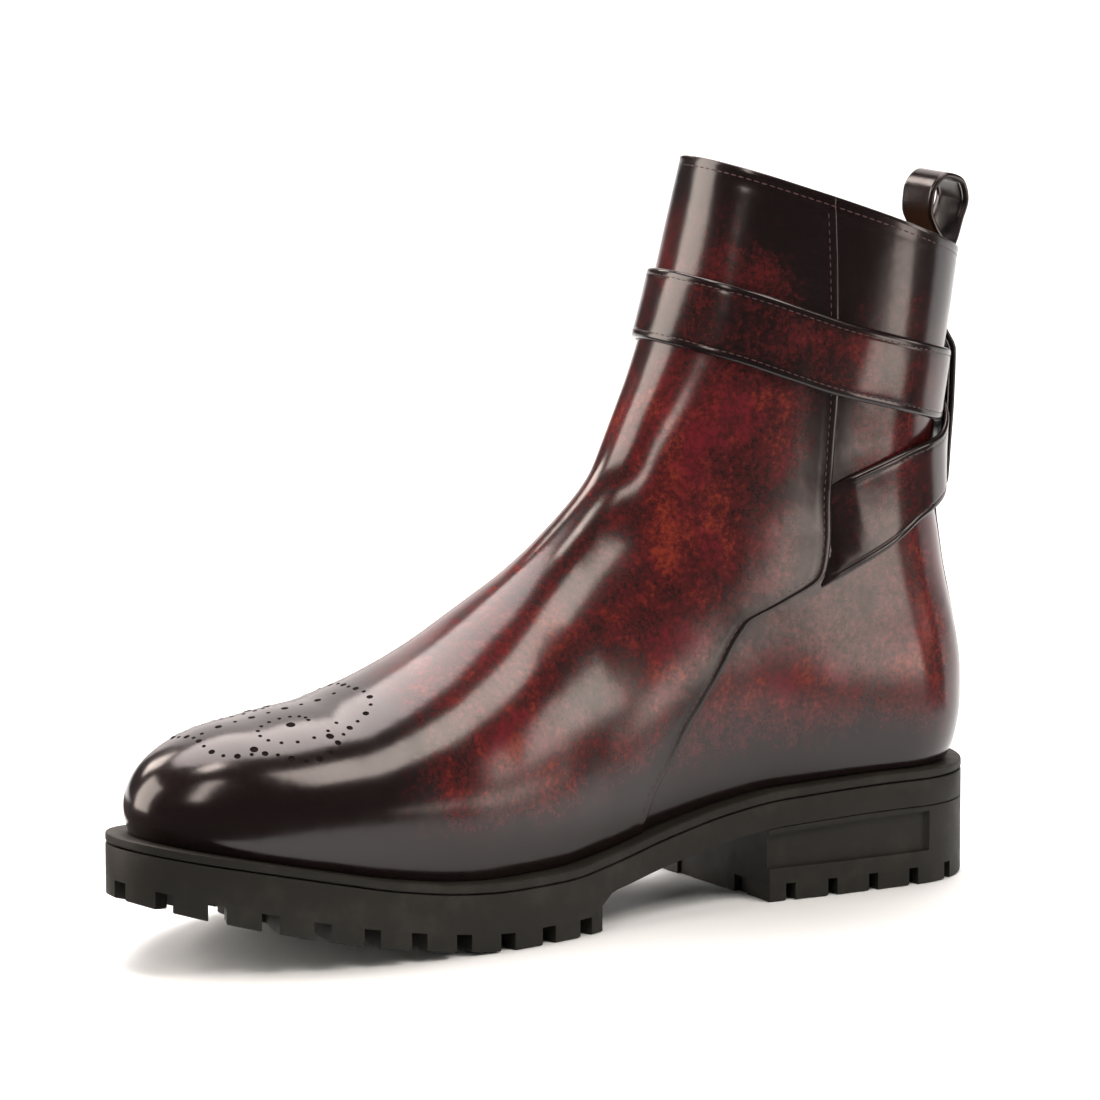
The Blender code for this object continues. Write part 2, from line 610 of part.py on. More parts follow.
def build_short_strap(finish):
    """Strap up to the buckle, where its thinner end turns round the centre bar and lies back under itself."""
    turn, rise, half_width, lift = strap_path(SHORT_STRAP, SHORT_LIFT, 54)
    band = band_on_upper(turn, rise, half_width, lift + STRAP_THICK / 2, LINES)
    centre, along, across, out = buckle_frame_axes()
    behind = (band[:, 2] - centre) @ along
    band = band[behind < -16.5]
    if (band[0, -1] - band[0, 0]) @ across < 0:
        across = -across
    near = (turn < math.radians(-85)) & (turn > math.radians(-115))
    flat = band_on_upper(turn[near], rise[near], half_width[near], 0 * lift[near], LINES)
    ground = (flat - centre) @ np.array([along, across, out]).T
    turned = []
    for a, o, thick in zip(CHAPE["along"], CHAPE["out"], CHAPE["thick"]):
        share = float(ease(-a / 5))
        row = [o + share * np.interp(-a, -ground[:, k, 0], ground[:, k, 2]) for k in range(len(LINES))]
        turned.append([centre + along * a + out * row[k] + across * line * STRAP_WIDE / 2
                       for k, line in enumerate(LINES)])
    sheet = np.concatenate([np.array(turned), band])
    thick = np.full(len(sheet), STRAP_THICK)
    thick[: len(turned)] = CHAPE["thick"]
    thick[len(turned)] = 1.7
    half = sheet_normals(sheet) * thick[:, None, None] / 2
    strap = shell("short_strap", sheet + half, sheet - half, finish)
    slot = (centre + along * 0.5 + out * 3, np.array((along * 5, across * 1.7, out * 4.5)))
    points, faces = box_mesh([slot])
    combine(strap, solid("prong_slot", points, faces, finish, smooth=False), "DIFFERENCE", True)
    return strap


def build_back_strip(finish):
    """Up the back over the crossed straps, then over the collar in the pull loop and down inside."""
    lines = np.array(LINES)
    rise_out = np.linspace(0.03, 1, 34)
    back = np.zeros_like(rise_out)
    outside = band_on_upper(back, rise_out, np.full(34, STRIP_WIDE / 2),
                            curve(STRIP_LIFT, rise_out, "rise", "lift") + STRIP_THICK / 2, LINES)
    rise_in = np.linspace(1, 0.9, 5)
    inside = band_on_upper(back[:5], rise_in, np.full(5, -STRIP_WIDE / 2),
                           np.full(5, -WALL - GAP - STRIP_THICK / 2), LINES)
    collar = upper_surface(np.zeros(1), np.ones(1))[0]
    loop = []
    steps = len(PULL_LOOP["up"])
    for number, (forward, up) in enumerate(zip(PULL_LOOP["forward"], PULL_LOOP["up"])):
        share = (number + 1) / (steps + 1)
        cross = (outside[-1] - outside[-1, 2]) * (1 - share) + (inside[0] - inside[0, 2]) * share
        cross[:, 1:] *= 1 - math.sin(math.pi * share)
        loop.append(collar + (0, forward, up) + cross)
    sheet = np.concatenate([outside, np.array(loop), inside])
    return thick_sheet("back_strip", sheet, STRIP_THICK, finish)


def build_buckle(finish):
    centre, along, across, out = buckle_frame_axes()
    long, wide, low = BUCKLE_LONG / 2, BUCKLE_WIDE / 2, FRAME_LOW
    axes = np.array([along, across, out])

    def bar(at_along, at_across, at_out, half_along, half_across, half_out):
        return (centre + np.array([at_along, at_across, at_out]) @ axes,
                np.diag([half_along, half_across, half_out]) @ axes)

    middle_out = low + BUCKLE_TALL / 2
    inner = wide - BAR / 2
    bar_half = CENTRE_BAR_THICK / 2
    frame_bars = {
        "front_bar": bar(long - BAR / 2, 0, middle_out + 0.85, BAR / 2, wide, BUCKLE_TALL / 2 - 0.85),
        "rear_bar": bar(-long + REAR_BAR_WIDE / 2, 0, low + BUCKLE_TALL - 0.2, REAR_BAR_WIDE / 2, wide, 1.05),
        "centre_bar": bar(0, 0, CENTRE_BAR_OUT, bar_half, inner, bar_half),
        "outer_side": bar(0, inner, middle_out, long - 0.1, BAR / 2 - 0.05, BUCKLE_TALL / 2),
        "inner_side": bar(0, -inner, middle_out, long - 0.1, BAR / 2 - 0.05, BUCKLE_TALL / 2),
    }
    points, faces = box_mesh([frame_bars["outer_side"]])
    frame = solid("buckle_frame", points, faces, finish, smooth=False)
    for name in ("front_bar", "rear_bar", "centre_bar", "inner_side"):
        points, faces = box_mesh([frame_bars[name]])
        combine(frame, solid(name, points, faces, finish, smooth=False), "UNION")
    return frame


def build_prong(finish):
    """Hooked round the centre bar, up through the long strap and over the front bar."""
    centre, along, across, out = buckle_frame_axes()
    run = np.column_stack([PRONG["along"], PRONG["out"]])
    middle = centre + run[:, :1] * along + run[:, 1:] * out
    tangent = np.gradient(run, axis=0)
    tangent /= np.linalg.norm(tangent, axis=1, keepdims=True)
    normal = -tangent[:, 1:] * along + tangent[:, :1] * out
    width = np.linspace(PRONG_WIDE, PRONG_WIDE * 0.7, len(run))[:, None] / 2
    corners = [middle + a * across * width + b * normal * PRONG_THICK / 2
               for a, b in ((-1, -1), (1, -1), (1, 1), (-1, 1))]
    sections = np.stack(corners, 1)
    rows = len(run)
    faces = [*grid_faces(rows, 4, wrap=True), (3, 2, 1, 0), tuple((rows - 1) * 4 + np.arange(4))]
    return solid("buckle_prong", sections.reshape(-1, 3), faces, finish, smooth=False)


def main():
    for old in list(bpy.data.objects):
        bpy.data.objects.remove(old)
    leather = material("oxblood_leather", (0.11, 0.016, 0.014), 0.28)
    strap_leather = material("strap_leather", (0.075, 0.018, 0.016), 0.32)
    board = material("insole_leather", (0.35, 0.2, 0.11), 0.6)
    rubber = material("sole_rubber", (0.035, 0.034, 0.03), 0.6)
    metal = material("pale_metal", (0.8, 0.74, 0.58), 0.2, 1.0)
    build_midsole(rubber)
    build_outsole(rubber)
    build_heel(rubber)
    build_insole(board)
    build_upper(leather)
    build_long_strap(strap_leather)
    build_short_strap(strap_leather)
    build_back_strip(strap_leather)
    build_buckle(metal)
    build_prong(metal)


if __name__ == "__main__":
    main()
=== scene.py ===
"""Jodhpur boot, right foot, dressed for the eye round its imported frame.

Sizes are millimetres in the boot's own coordinates (x, l, z): x to the inner side of the foot, l forward from
the rearmost point of the sole, z up from the floor. Meshes are written in metres as (x, HEEL_MIDDLE - l, z).
The upper is one surface S(turn, rise): turn runs once round the boot, 0 at the back and 180 degrees at the
front, inner side first; rise runs from 0 at the feather line, where upper meets sole, to 1 at the collar.
"""

from __future__ import annotations

import logging
import math
from collections.abc import Callable, Sequence
from dataclasses import dataclass, field
from enum import Enum
from functools import reduce

import bmesh
import bpy
import numpy as np
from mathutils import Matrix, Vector

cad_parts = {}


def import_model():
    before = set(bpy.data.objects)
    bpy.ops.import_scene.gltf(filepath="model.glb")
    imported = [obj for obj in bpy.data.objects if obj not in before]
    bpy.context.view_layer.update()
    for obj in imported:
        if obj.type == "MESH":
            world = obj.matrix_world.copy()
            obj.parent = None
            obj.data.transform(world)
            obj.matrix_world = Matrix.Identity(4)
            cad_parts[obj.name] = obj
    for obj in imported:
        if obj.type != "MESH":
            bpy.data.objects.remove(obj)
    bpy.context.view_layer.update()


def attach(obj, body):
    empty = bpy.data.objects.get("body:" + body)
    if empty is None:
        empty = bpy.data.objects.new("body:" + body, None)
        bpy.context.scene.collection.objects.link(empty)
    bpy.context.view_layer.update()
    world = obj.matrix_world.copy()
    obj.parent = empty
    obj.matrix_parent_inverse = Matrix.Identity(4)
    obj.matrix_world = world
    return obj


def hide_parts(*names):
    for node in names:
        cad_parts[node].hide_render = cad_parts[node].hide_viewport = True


log = logging.getLogger("boot")

Array = np.ndarray
Vector3 = tuple[float, float, float]

MM = 0.001
HEEL_MIDDLE = 43.0
BODY = "root"
UP = np.array([0.0, 0.0, 1.0])
TABLE_SIZE = 4001
FLOOR = -0.0001
FAR = 50.0  # more than any gap that matters, in mm or in degrees


# ---------------------------------------------------------------- curves and small maths


@dataclass(frozen=True)
class Curve:
    """Smooth curve through a few rows that never overshoots them and runs on straight beyond its ends."""

    at: tuple[float, ...]
    value: tuple[float, ...]
    places: Array = field(init=False, repr=False, compare=False)
    table: Array = field(init=False, repr=False, compare=False)

    def __post_init__(self) -> None:
        """Keeps a dense table of the curve, read by straight lines between its entries."""
        places = np.linspace(self.at[0], self.at[-1], TABLE_SIZE)
        object.__setattr__(self, "places", places)
        object.__setattr__(self, "table", self.smooth(places))

    def __call__(self, where: Array | float) -> Array:
        """The curve's values at these places along its own axis, straight beyond its ends."""
        x, y = self.places, self.table
        before, after = np.minimum(where - x[0], 0), np.maximum(where - x[-1], 0)
        first, last = (y[1] - y[0]) / (x[1] - x[0]), (y[-1] - y[-2]) / (x[-1] - x[-2])
        return np.interp(where, x, y) + before * first + after * last

    def smooth(self, where: Array) -> Array:
        """Monotone cubic: each knot's slope is the weighted harmonic mean of its neighbours' slopes.

        Args:
            where: places along the curve's own axis, between its ends.

        Returns:
            The curve's values there.
        """
        x, y = np.asarray(self.at, float), np.asarray(self.value, float)
        step = np.diff(x)
        slope = np.diff(y) / step
        knot = np.empty_like(y)
        knot[0], knot[-1] = slope[0], slope[-1]
        before, after = slope[:-1], slope[1:]
        heavy, light = 2 * step[1:] + step[:-1], step[1:] + 2 * step[:-1]
        same_way = before * after > 0
        mean = (heavy + light) / (heavy / np.where(same_way, before, 1) + light / np.where(same_way, after, 1))
        knot[1:-1] = np.where(same_way, mean, 0)
        i = np.clip(np.searchsorted(x, where) - 1, 0, len(step) - 1)
        t = np.clip((where - x[i]) / step[i], 0, 1)
        value = y[i] * (1 + 2 * t) * (1 - t) ** 2 + y[i + 1] * t**2 * (3 - 2 * t)
        return value + step[i] * (knot[i] * t * (1 - t) ** 2 + knot[i + 1] * t**2 * (t - 1))


def ease(t: Array | float) -> Array:
    """0 to 1 with flat ends."""
    t = np.clip(t, 0, 1)
    return t * t * (3 - 2 * t)


@dataclass(frozen=True)
class Blend:
    """Smooth change from 0 at start to 1 once over has passed; a negative over runs the other way."""

    start: float
    over: float

    def __call__(self, at: Array) -> Array:
        """How far the change has gone at this place."""
        return ease((at - self.start) / self.over)


def unit(vectors: Array) -> Array:
    """The vectors scaled to length 1."""
    return vectors / np.linalg.norm(vectors, axis=-1, keepdims=True)


def bump_of(distance: Array, width: float) -> Array:
    """Bell of height 1: the Gaussian of distance over width."""
    return np.exp(-((distance / width) ** 2))


def walked(path: Array) -> Array:
    """Length along a path of points, from 0 at its first point."""
    return np.concatenate([[0], np.cumsum(np.linalg.norm(np.diff(path, axis=0), axis=1))])


def spread(length: float, edges: Sequence[float], count: int) -> Array:
    """Places from 0 to length: the same fine steps in from each end, and count even ones between them."""
    fine = np.asarray(edges, float)
    middle = np.linspace(fine[-1], length - fine[-1], count)[1:-1]
    return np.concatenate([fine, middle, length - fine[::-1]])


# ---------------------------------------------------------------- the boot's form


SOLE_STATIONS = (0, 35, 60, 90, 120, 145, 165, 185, 205, 230, 250, 270, 290, 306)
LAST_STATIONS = (-3, *SOLE_STATIONS[1:-1], 301)


@dataclass(frozen=True)
class Form:
    """The last, the sole's outline and levels, and the upper's surface drawn over them."""

    sole_length: float = 306.0
    midsole_thick: float = 3.0
    gap: float = 0.3
    waist_thick: float = 8.2
    lug_deep: float = 5.5
    heel_length: float = 86.0
    forepart_start: float = 158.0
    toe_spring: float = 22.5
    spring_start: float = 190.0
    spring_power: float = 1.4
    toe_round_start: float = 212.0
    toe_round_power: float = 2.3
    heel_round: float = 33.0
    heel_round_power: float = 2.15
    upper_tip: float = 300.5
    tuck: float = 2.6
    tuck_height: float = 6.0
    toe_box_start: float = 216.0
    toe_box_power: float = 2.4
    back_power: float = 2.15
    sag_end: float = 0.34
    sag_power: float = 1.5
    sag_front_power: int = 6
    heel_cup: Blend = Blend(15, 60)
    shaft_up: Blend = Blend(45, 75)
    shaft_back: Blend = Blend(185, -80)
    upright_up: Blend = Blend(40, 70)
    upright_back: Blend = Blend(190, -80)

    plan_middle: Curve = Curve(
        SOLE_STATIONS, (0, -0.5, -1, -2.2, -3.3, -2.6, -1.8, -1.8, -2, -1.2, 1, 4, 8, 10.5))
    plan_half: Curve = Curve(
        SOLE_STATIONS, (34, 33.8, 33.9, 33.2, 35.3, 39.8, 45.5, 49.3, 50.8, 51, 49.5, 46.5, 43, 40))
    top_of_sole: Curve = Curve(
        (0, 40, 80, 100, 125, 150, 170, 190, 205, 230, 250, 270, 290, 306),
        (36.4, 36.6, 35.2, 32.6, 27.6, 23, 21.4, 21.4, 22.2, 25.8, 30, 34.2, 38.2, 41.4),
    )
    last_middle: Curve = Curve(
        LAST_STATIONS, (0, -0.5, -1, -2.2, -3.3, -2.6, -1.8, -1.8, -2, -1.2, 1, 4, 8, 10.2))
    last_half: Curve = Curve(LAST_STATIONS, (33, 33.5, 33, 31.5, 33, 37, 42, 46, 48.2, 48.2, 47, 45, 41.5, 39))
    ridge: Curve = Curve((90, 120, 150, 180, 210, 240, 275, 300), (0, 1, 3, 5.5, 7.5, 8.5, 9.3, 10))
    front: Curve = Curve(
        (93.8, 103, 111.5, 119.5, 128.8, 141, 155.4, 171.7, 189.1, 206.4, 222.8, 238, 256, 272, 303),
        (230.5, 195, 171.3, 154, 137, 124, 112.5, 102.2, 92.3, 84.2, 78.4, 75.4, 75.6, 77.2, 78.6),
    )
    back: Curve = Curve(
        (36, 45, 55, 65, 75, 85, 97, 110, 122, 135, 150, 165, 180, 195, 208),
        (1.5, 0, -1, -0.9, 0.3, 2.4, 5.2, 7.4, 9.4, 10, 9.2, 7.3, 4.8, 2.4, 0.5),
    )
    back_round: Curve = Curve((36, 60, 110, 208), (32, 33, 36, 44))
    shaft: Curve = Curve((60, 90, 115, 140, 170, 200, 230), (34, 31.5, 31.5, 34, 37.5, 38.5, 39))
    fullness_power: Curve = Curve((60, 120, 170, 210, 250, 300), (2.0, 1.9, 1.95, 2.1, 2.4, 2.6))
    section_fronts: Curve = Curve(
        (0, 0.03, 0.06, 0.1, 0.15, 0.2, 0.26, 0.32, 0.38, 0.44, 0.5, 0.56, 0.62, 0.68, 0.75, 0.84, 0.92, 1),
        (300.5, 299.9, 297.5, 293, 280, 263, 243, 223, 204, 186, 168, 151, 137, 126, 117, 107.3, 100, 93.8),
    )
    section_backs: Curve = Curve(
        (0, 0.1, 0.2, 0.3, 0.4, 0.5, 0.6, 0.7, 0.8, 0.9, 1),
        (36.7, 47, 59, 71, 83, 96, 111, 129, 150, 173, 196.5),
    )

    def sole_edge(self, l: Array, inset: float = 0.0) -> tuple[Array, Array]:
        """Middle line and half width of the sole at l, its ends rounded, drawn in by inset all round."""
        span = (l - inset) * self.sole_length / (self.sole_length - 2 * inset)
        toe_share = np.clip((span - self.toe_round_start) / (self.sole_length - self.toe_round_start), 0, 1)
        heel = np.clip(1 - span / self.heel_round, 0, 1) ** self.heel_round_power
        rounding = np.sqrt(np.clip(1 - toe_share**self.toe_round_power - heel, 0, 1))
        return self.plan_middle(span), (self.plan_half(span) - inset) * rounding

    def tread(self, l: Array) -> Array:
        """Height of the lugs' lower faces under the forepart: flat, then the toe spring."""
        ahead = np.clip((l - self.spring_start) / (self.sole_length - self.spring_start), 0, None)
        return self.toe_spring * ahead**self.spring_power

    def outsole_top(self, l: Array) -> Array:
        """Height of the outsole's upper face, under the welt."""
        return self.top_of_sole(l) - self.midsole_thick - self.gap

    def feather(self, l: Array) -> Array:
        """Height of the upper's lower edge."""
        return self.top_of_sole(l) + self.gap

    def _ends(self, rise: Array) -> tuple[Array, Array, Array, Array]:
        """(l, z) of the back end and of the front end of the section at this rise."""
        back_z = self.section_backs(rise)
        front_l = self.section_fronts(rise)
        low = self.feather(front_l)
        toe = np.clip((front_l - self.toe_box_start) / (self.upper_tip - self.toe_box_start), 0, 1)
        power = self.fullness_power(np.clip(front_l, 60, 300))
        front_z = low + (self.front(front_l) - low) * (1 - toe**self.toe_box_power) ** (1 / power)
        return self.back(back_z), back_z, front_l, front_z

    def last(self, turn: Array, rise: Array) -> Array:
        """Point (x, l, z) of the lasted upper before the feather line is drawn in.

        The section at this rise runs from back to front as a cosine of turn. Its half width is the plan's,
        closed by three shares: the height under the ridge, the toe box's rounding and the heel's rounding.

        Args:
            turn: angle round the boot in radians.
            rise: 0 at the feather line to 1 at the collar.

        Returns:
            Points, with the last axis holding x, l and z.
        """
        share = (1 - np.cos(turn)) / 2
        back_l, back_z, front_l, front_z = self._ends(rise)
        l = back_l + (front_l - back_l) * share
        z = back_z + (front_z - back_z) * share
        low_l, low_z, tip_l, tip_z = self._ends(np.zeros_like(rise))

        def sag(at_l: Array) -> Array:
            """How far the feather line hangs below the straight line between its ends."""
            straight = low_z + (tip_z - low_z) * np.clip((at_l - low_l) / (tip_l - low_l), 0, 1)
            return self.feather(at_l) - straight

        fade = np.clip(1 - rise / self.sag_end, 0, 1) ** self.sag_power
        z = z + (sag(l) - sag(front_l) * share**self.sag_front_power) * fade
        low = self.feather(l)
        height = np.clip((z - low) / (self.front(l) - low), 0, None) * self.heel_cup(l)
        toe = np.clip((l - self.toe_box_start) / (self.upper_tip - self.toe_box_start), 0, None)
        heel = np.clip(1 - (l - self.back(z)) / self.back_round(z), 0, None) ** self.back_power
        closing = height ** self.fullness_power(np.clip(l, 60, 300)) + toe**self.toe_box_power + heel
        open_part = np.sqrt(np.clip(1 - closing, 0, None))
        to_shaft = self.shaft_up(z) * self.shaft_back(l)
        half = self.last_half(l) * (1 - to_shaft) + self.shaft(z) * to_shaft
        upright = self.upright_up(z) * self.upright_back(l)
        lean = ease(height)
        middle = self.last_middle(l) * (1 - upright) * (1 - lean) + self.ridge(np.clip(l, 90, 300)) * lean
        side = np.where(np.sin(turn) >= 0, 1.0, -1.0)
        return np.stack([middle + side * half * open_part, l, z], -1)

    def feather_outward(self, turn: Array) -> Array:
        """Level unit vector (x, l) that points out of the feather line."""
        flat = np.zeros_like(turn)
        along = (self.last(turn + 0.001, flat) - self.last(turn - 0.001, flat))[..., :2]
        return unit(np.stack([along[..., 1], -along[..., 0]], -1))

    def surface(self, turn: Array, rise: Array) -> Array:
        """Point of the upper's outer face: the lasted form, drawn in near the feather line."""
        point = self.last(turn, rise)
        lasted = self.feather(point[..., 1])
        share = np.exp(-np.clip(point[..., 2] - lasted, 0, None) / self.tuck_height)
        point[..., :2] -= self.feather_outward(turn) * self.tuck * share[..., None]
        point[..., 2] += (self.feather(point[..., 1]) - lasted) * share
        return point

    def slopes(self, turn: Array, rise: Array, step: float = 0.002) -> tuple[Array, Array]:
        """Derivatives of the upper's face along turn and along rise."""
        low, high = np.clip(rise - step, 0, 1), np.clip(rise + step, 0, 1)
        by_turn = (self.surface(turn + step, rise) - self.surface(turn - step, rise)) / (2 * step)
        by_rise = (self.surface(turn, high) - self.surface(turn, low)) / (high - low)[..., None]
        return by_turn, by_rise

    def outward(self, turn: Array, rise: Array) -> Array:
        """Unit normals of the upper's face."""
        return unit(np.cross(*self.slopes(turn, rise)))

    def off(self, turn: Array, rise: Array, lift: Array | float) -> Array:
        """Points lift mm off the upper's face."""
        lift = np.broadcast_to(lift, np.shape(turn))
        return self.surface(turn, rise) + self.outward(turn, rise) * lift[..., None]

    def walk(self, turn: Array, rise: Array, move: Array) -> tuple[Array, Array]:
        """Turn and rise after a short move over the surface: the move solved on the two slopes."""
        by_turn, by_rise = self.slopes(turn, rise)
        tt, rr, tr = (by_turn**2).sum(-1), (by_rise**2).sum(-1), (by_turn * by_rise).sum(-1)
        t, r = (by_turn * move).sum(-1), (by_rise * move).sum(-1)
        determinant = tt * rr - tr**2
        return turn + (t * rr - r * tr) / determinant, rise + (r * tt - t * tr) / determinant

    def seek(self, x: Array, l: Array, steps: int = 12) -> tuple[Array, Array]:
        """Turn and rise of the vamp's points that lie at (x, l) seen from above.

        The nearest point of a coarse grid is the first guess, and short Newton steps close in on the place.
        """
        turn, rise = (value.ravel() for value in np.meshgrid(np.radians(np.linspace(90, 270, 121)),
                                                             np.linspace(0.01, 0.5, 60)))
        coarse = self.surface(turn, rise)
        nearest = np.argmin(np.hypot(coarse[:, 0] - x[:, None], coarse[:, 1] - l[:, None]), axis=1)
        turn, rise = turn[nearest], rise[nearest]
        for _ in range(steps):
            here = self.surface(turn, rise)
            error = np.stack([x - here[..., 0], l - here[..., 1]], -1)
            by_turn, by_rise = self.slopes(turn, rise)
            a, b, c, d = by_turn[..., 0], by_rise[..., 0], by_turn[..., 1], by_rise[..., 1]
            determinant = a * d - b * c
            step_turn = (error[..., 0] * d - error[..., 1] * b) / determinant
            step_rise = (error[..., 1] * a - error[..., 0] * c) / determinant
            turn = turn + np.clip(step_turn, -0.05, 0.05)
            rise = np.clip(rise + np.clip(step_rise, -0.02, 0.02), 0.005, 0.6)
        return turn, rise


FORM = Form()


def walk_square(turn: Array, rise: Array, run: Array, places: Array, steps: int = 5) -> tuple[Array, Array]:
    """Turns and rises reached by walking over the upper square to a line's run.

    Args:
        turn: the line's turns.
        rise: the line's rises.
        run: the line's direction at each of its points.
        places: points x columns distances to walk, negative to the other side.
        steps: how many short moves make up each walk.

    Returns:
        Turns and rises, points x columns.
    """
    turn, rise = (np.repeat(value[:, None], places.shape[1], axis=1) for value in (turn, rise))
    for _ in range(steps):
        square = unit(np.cross(FORM.outward(turn, rise), run[:, None]))
        turn, rise = FORM.walk(turn, rise, square * (places / steps)[..., None])
    return turn, rise


MEDIAL_SEAM = Curve(  # turn in degrees of the front panel's inner edge, from feather line to collar
    (0, 0.045, 0.118, 0.198, 0.307, 0.4, 0.425, 0.463, 0.512, 0.56, 0.662, 0.777, 0.905, 1),
    (82.3, 81.8, 80.2, 81.5, 84.7, 87.4, 87.6, 82.5, 76.2, 78, 84.7, 91.5, 102, 110),
)
FLAP_EDGE = Curve(  # and of its outer edge: vamp seam, the flap's lower corner, its rear edge, its upper corner
    (0, 0.068, 0.16, 0.288, 0.388, 0.448, 0.468, 0.486, 0.5, 0.53, 0.667, 0.795, 0.9, 0.95, 0.975, 0.99, 1),
    (269, 269.5, 268.8, 264.5, 264, 269, 273.2, 276.9, 278.2, 277.8, 272.8, 267.2, 260.3, 256, 252.5, 248.5,
     243),
)


# ---------------------------------------------------------------- meshes


def to_world(points: Array) -> Array:
    """Boot millimetres (x, l, z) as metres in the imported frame."""
    points = np.asarray(points, float)
    return np.stack([points[..., 0], HEEL_MIDDLE - points[..., 1], points[..., 2]], -1) * MM


def grid_quads(rows: int, columns: int, start: int = 0, wrap: bool = False, flip: bool = False) -> Array:
    """Quads of a grid of rows x columns points numbered from start; wrap joins the last column to the first."""
    i, j = np.meshgrid(np.arange(rows - 1), np.arange(columns if wrap else columns - 1), indexing="ij")
    k = (j + 1) % columns
    quads = np.stack([i * columns + j, i * columns + k, (i + 1) * columns + k, (i + 1) * columns + j], -1)
    quads = quads.reshape(-1, 4) + start
    return quads[:, ::-1] if flip else quads


def band_between(ring: Array, other: Array) -> Array:
    """Quads that join two rows of point numbers."""
    return np.stack([ring[:-1], ring[1:], other[1:], other[:-1]], -1)


@dataclass
class Shape:
    """Points and faces of one mesh in boot millimetres, with values carried at its points."""

    points: Array
    faces: list[Array]
    values: dict[str, Array] = field(default_factory=dict)

    def joined(self, other: Shape) -> Shape:
        """This shape and another as one, each still its own closed surface."""
        count = len(self.points)
        names = set(self.values) | set(other.values)
        blank = {name: (np.zeros(count), np.zeros(len(other.points))) for name in names}
        values = {name: np.concatenate([self.values.get(name, blank[name][0]),
                                        other.values.get(name, blank[name][1])]) for name in names}
        return Shape(np.concatenate([self.points, other.points]),
                     self.faces + [faces + count for faces in other.faces], values)


def shell(outer: Array, inner: Array, wrap: bool = False, values: dict[str, Array] | None = None) -> Shape:
    """Closed shape between two grids of the same size, joined along their open edges.

    Args:
        outer: rows x columns x 3 points of one face.
        inner: the other face's points.
        wrap: whether the last column joins the first.
        values: named numbers on the outer grid, repeated on the inner one.

    Returns:
        The closed shape.
    """
    rows, columns = outer.shape[:2]
    count = rows * columns
    numbers = np.arange(count).reshape(rows, columns)
    faces = [grid_quads(rows, columns, 0, wrap), grid_quads(rows, columns, count, wrap, flip=True)]
    edges = [numbers[0], numbers[-1][::-1]]
    if wrap:
        edges = [np.append(edge, edge[0]) for edge in edges]
    else:
        edges += [numbers[::-1, 0], numbers[:, -1]]
    faces += [band_between(edge, edge + count) for edge in edges]
    carried = {name: np.tile(value.ravel(), 2) for name, value in (values or {}).items()}
    return Shape(np.concatenate([outer.reshape(-1, 3), inner.reshape(-1, 3)]), faces, carried)


def copied(faces: list[Array], copies: int, count: int) -> list[Array]:
    """Faces of so many copies of a shape of count points."""
    shift = np.arange(copies)[:, None, None] * count
    return [(group[None] + shift).reshape(-1, group.shape[1]) for group in faces]


def stack(rings: Sequence[Array]) -> Shape:
    """Closed block through rings of points of the same count, one face over each end."""
    count, last = len(rings[0]), len(rings) - 1
    ring = np.arange(count)
    faces = [grid_quads(last + 1, count, wrap=True), ring[None, ::-1], (ring + last * count)[None]]
    return Shape(np.concatenate(rings), faces)


def block(plan: Array, small: Array, high: Callable[[Array], Array], low: Callable[[Array], Array],
          chamfer: float) -> Shape:
    """Closed block under a plan (x, l), from its root's height down to a lower face of the smaller plan."""
    l = plan[:, 1]
    return stack([np.column_stack([plan, high(l)]), np.column_stack([plan, low(l) + chamfer]),
                  np.column_stack([small, low(l)])])


def scatter(places: Array, axes: Array, points: Array, faces: list[Array]) -> Shape:
    """Copies of one small closed shape as a single mesh.

    Args:
        places: count x 3 centres.
        axes: count x 3 x 3, each copy's three axes as rows, already scaled.
        points: the small shape's points in its own axes.
        faces: its faces.

    Returns:
        All the copies: each point is its copy's centre plus the small shape's point times the axes.
    """
    placed = places[:, None, :] + np.einsum("pk,nkd->npd", points, axes)
    return Shape(placed.reshape(-1, 3), copied(faces, len(places), len(points)))


def round_bead(around: int, stops: Sequence[float]) -> tuple[Array, list[Array]]:
    """Closed bead along its first axis: rings at the given angles from one tip to the other, radius 1."""
    angle = np.asarray(stops, float) * math.pi
    turn = np.arange(around) * 2 * math.pi / around
    rings = np.stack([np.broadcast_to(-np.cos(angle)[:, None], (len(angle), around)),
                      np.sin(angle)[:, None] * np.cos(turn), np.sin(angle)[:, None] * np.sin(turn)], -1)
    points = np.concatenate([rings.reshape(-1, 3), [(-1, 0, 0), (1, 0, 0)]])
    first, last = len(points) - 2, len(points) - 1
    ring = np.arange(around)
    after = np.roll(ring, -1)
    final = ring + (len(angle) - 1) * around
    tips = np.concatenate([np.stack([after, ring, np.full(around, first)], -1),
                           np.stack([final, np.roll(final, -1), np.full(around, last)], -1)])
    return points, [grid_quads(len(angle), around, wrap=True), tips]


def placed(name: str, data: bpy.types.ID) -> bpy.types.Object:
    """New object of this name in the scene, holding this mesh, light or camera."""
    made = bpy.data.objects.new(name, data)
    bpy.context.scene.collection.objects.link(made)
    return made


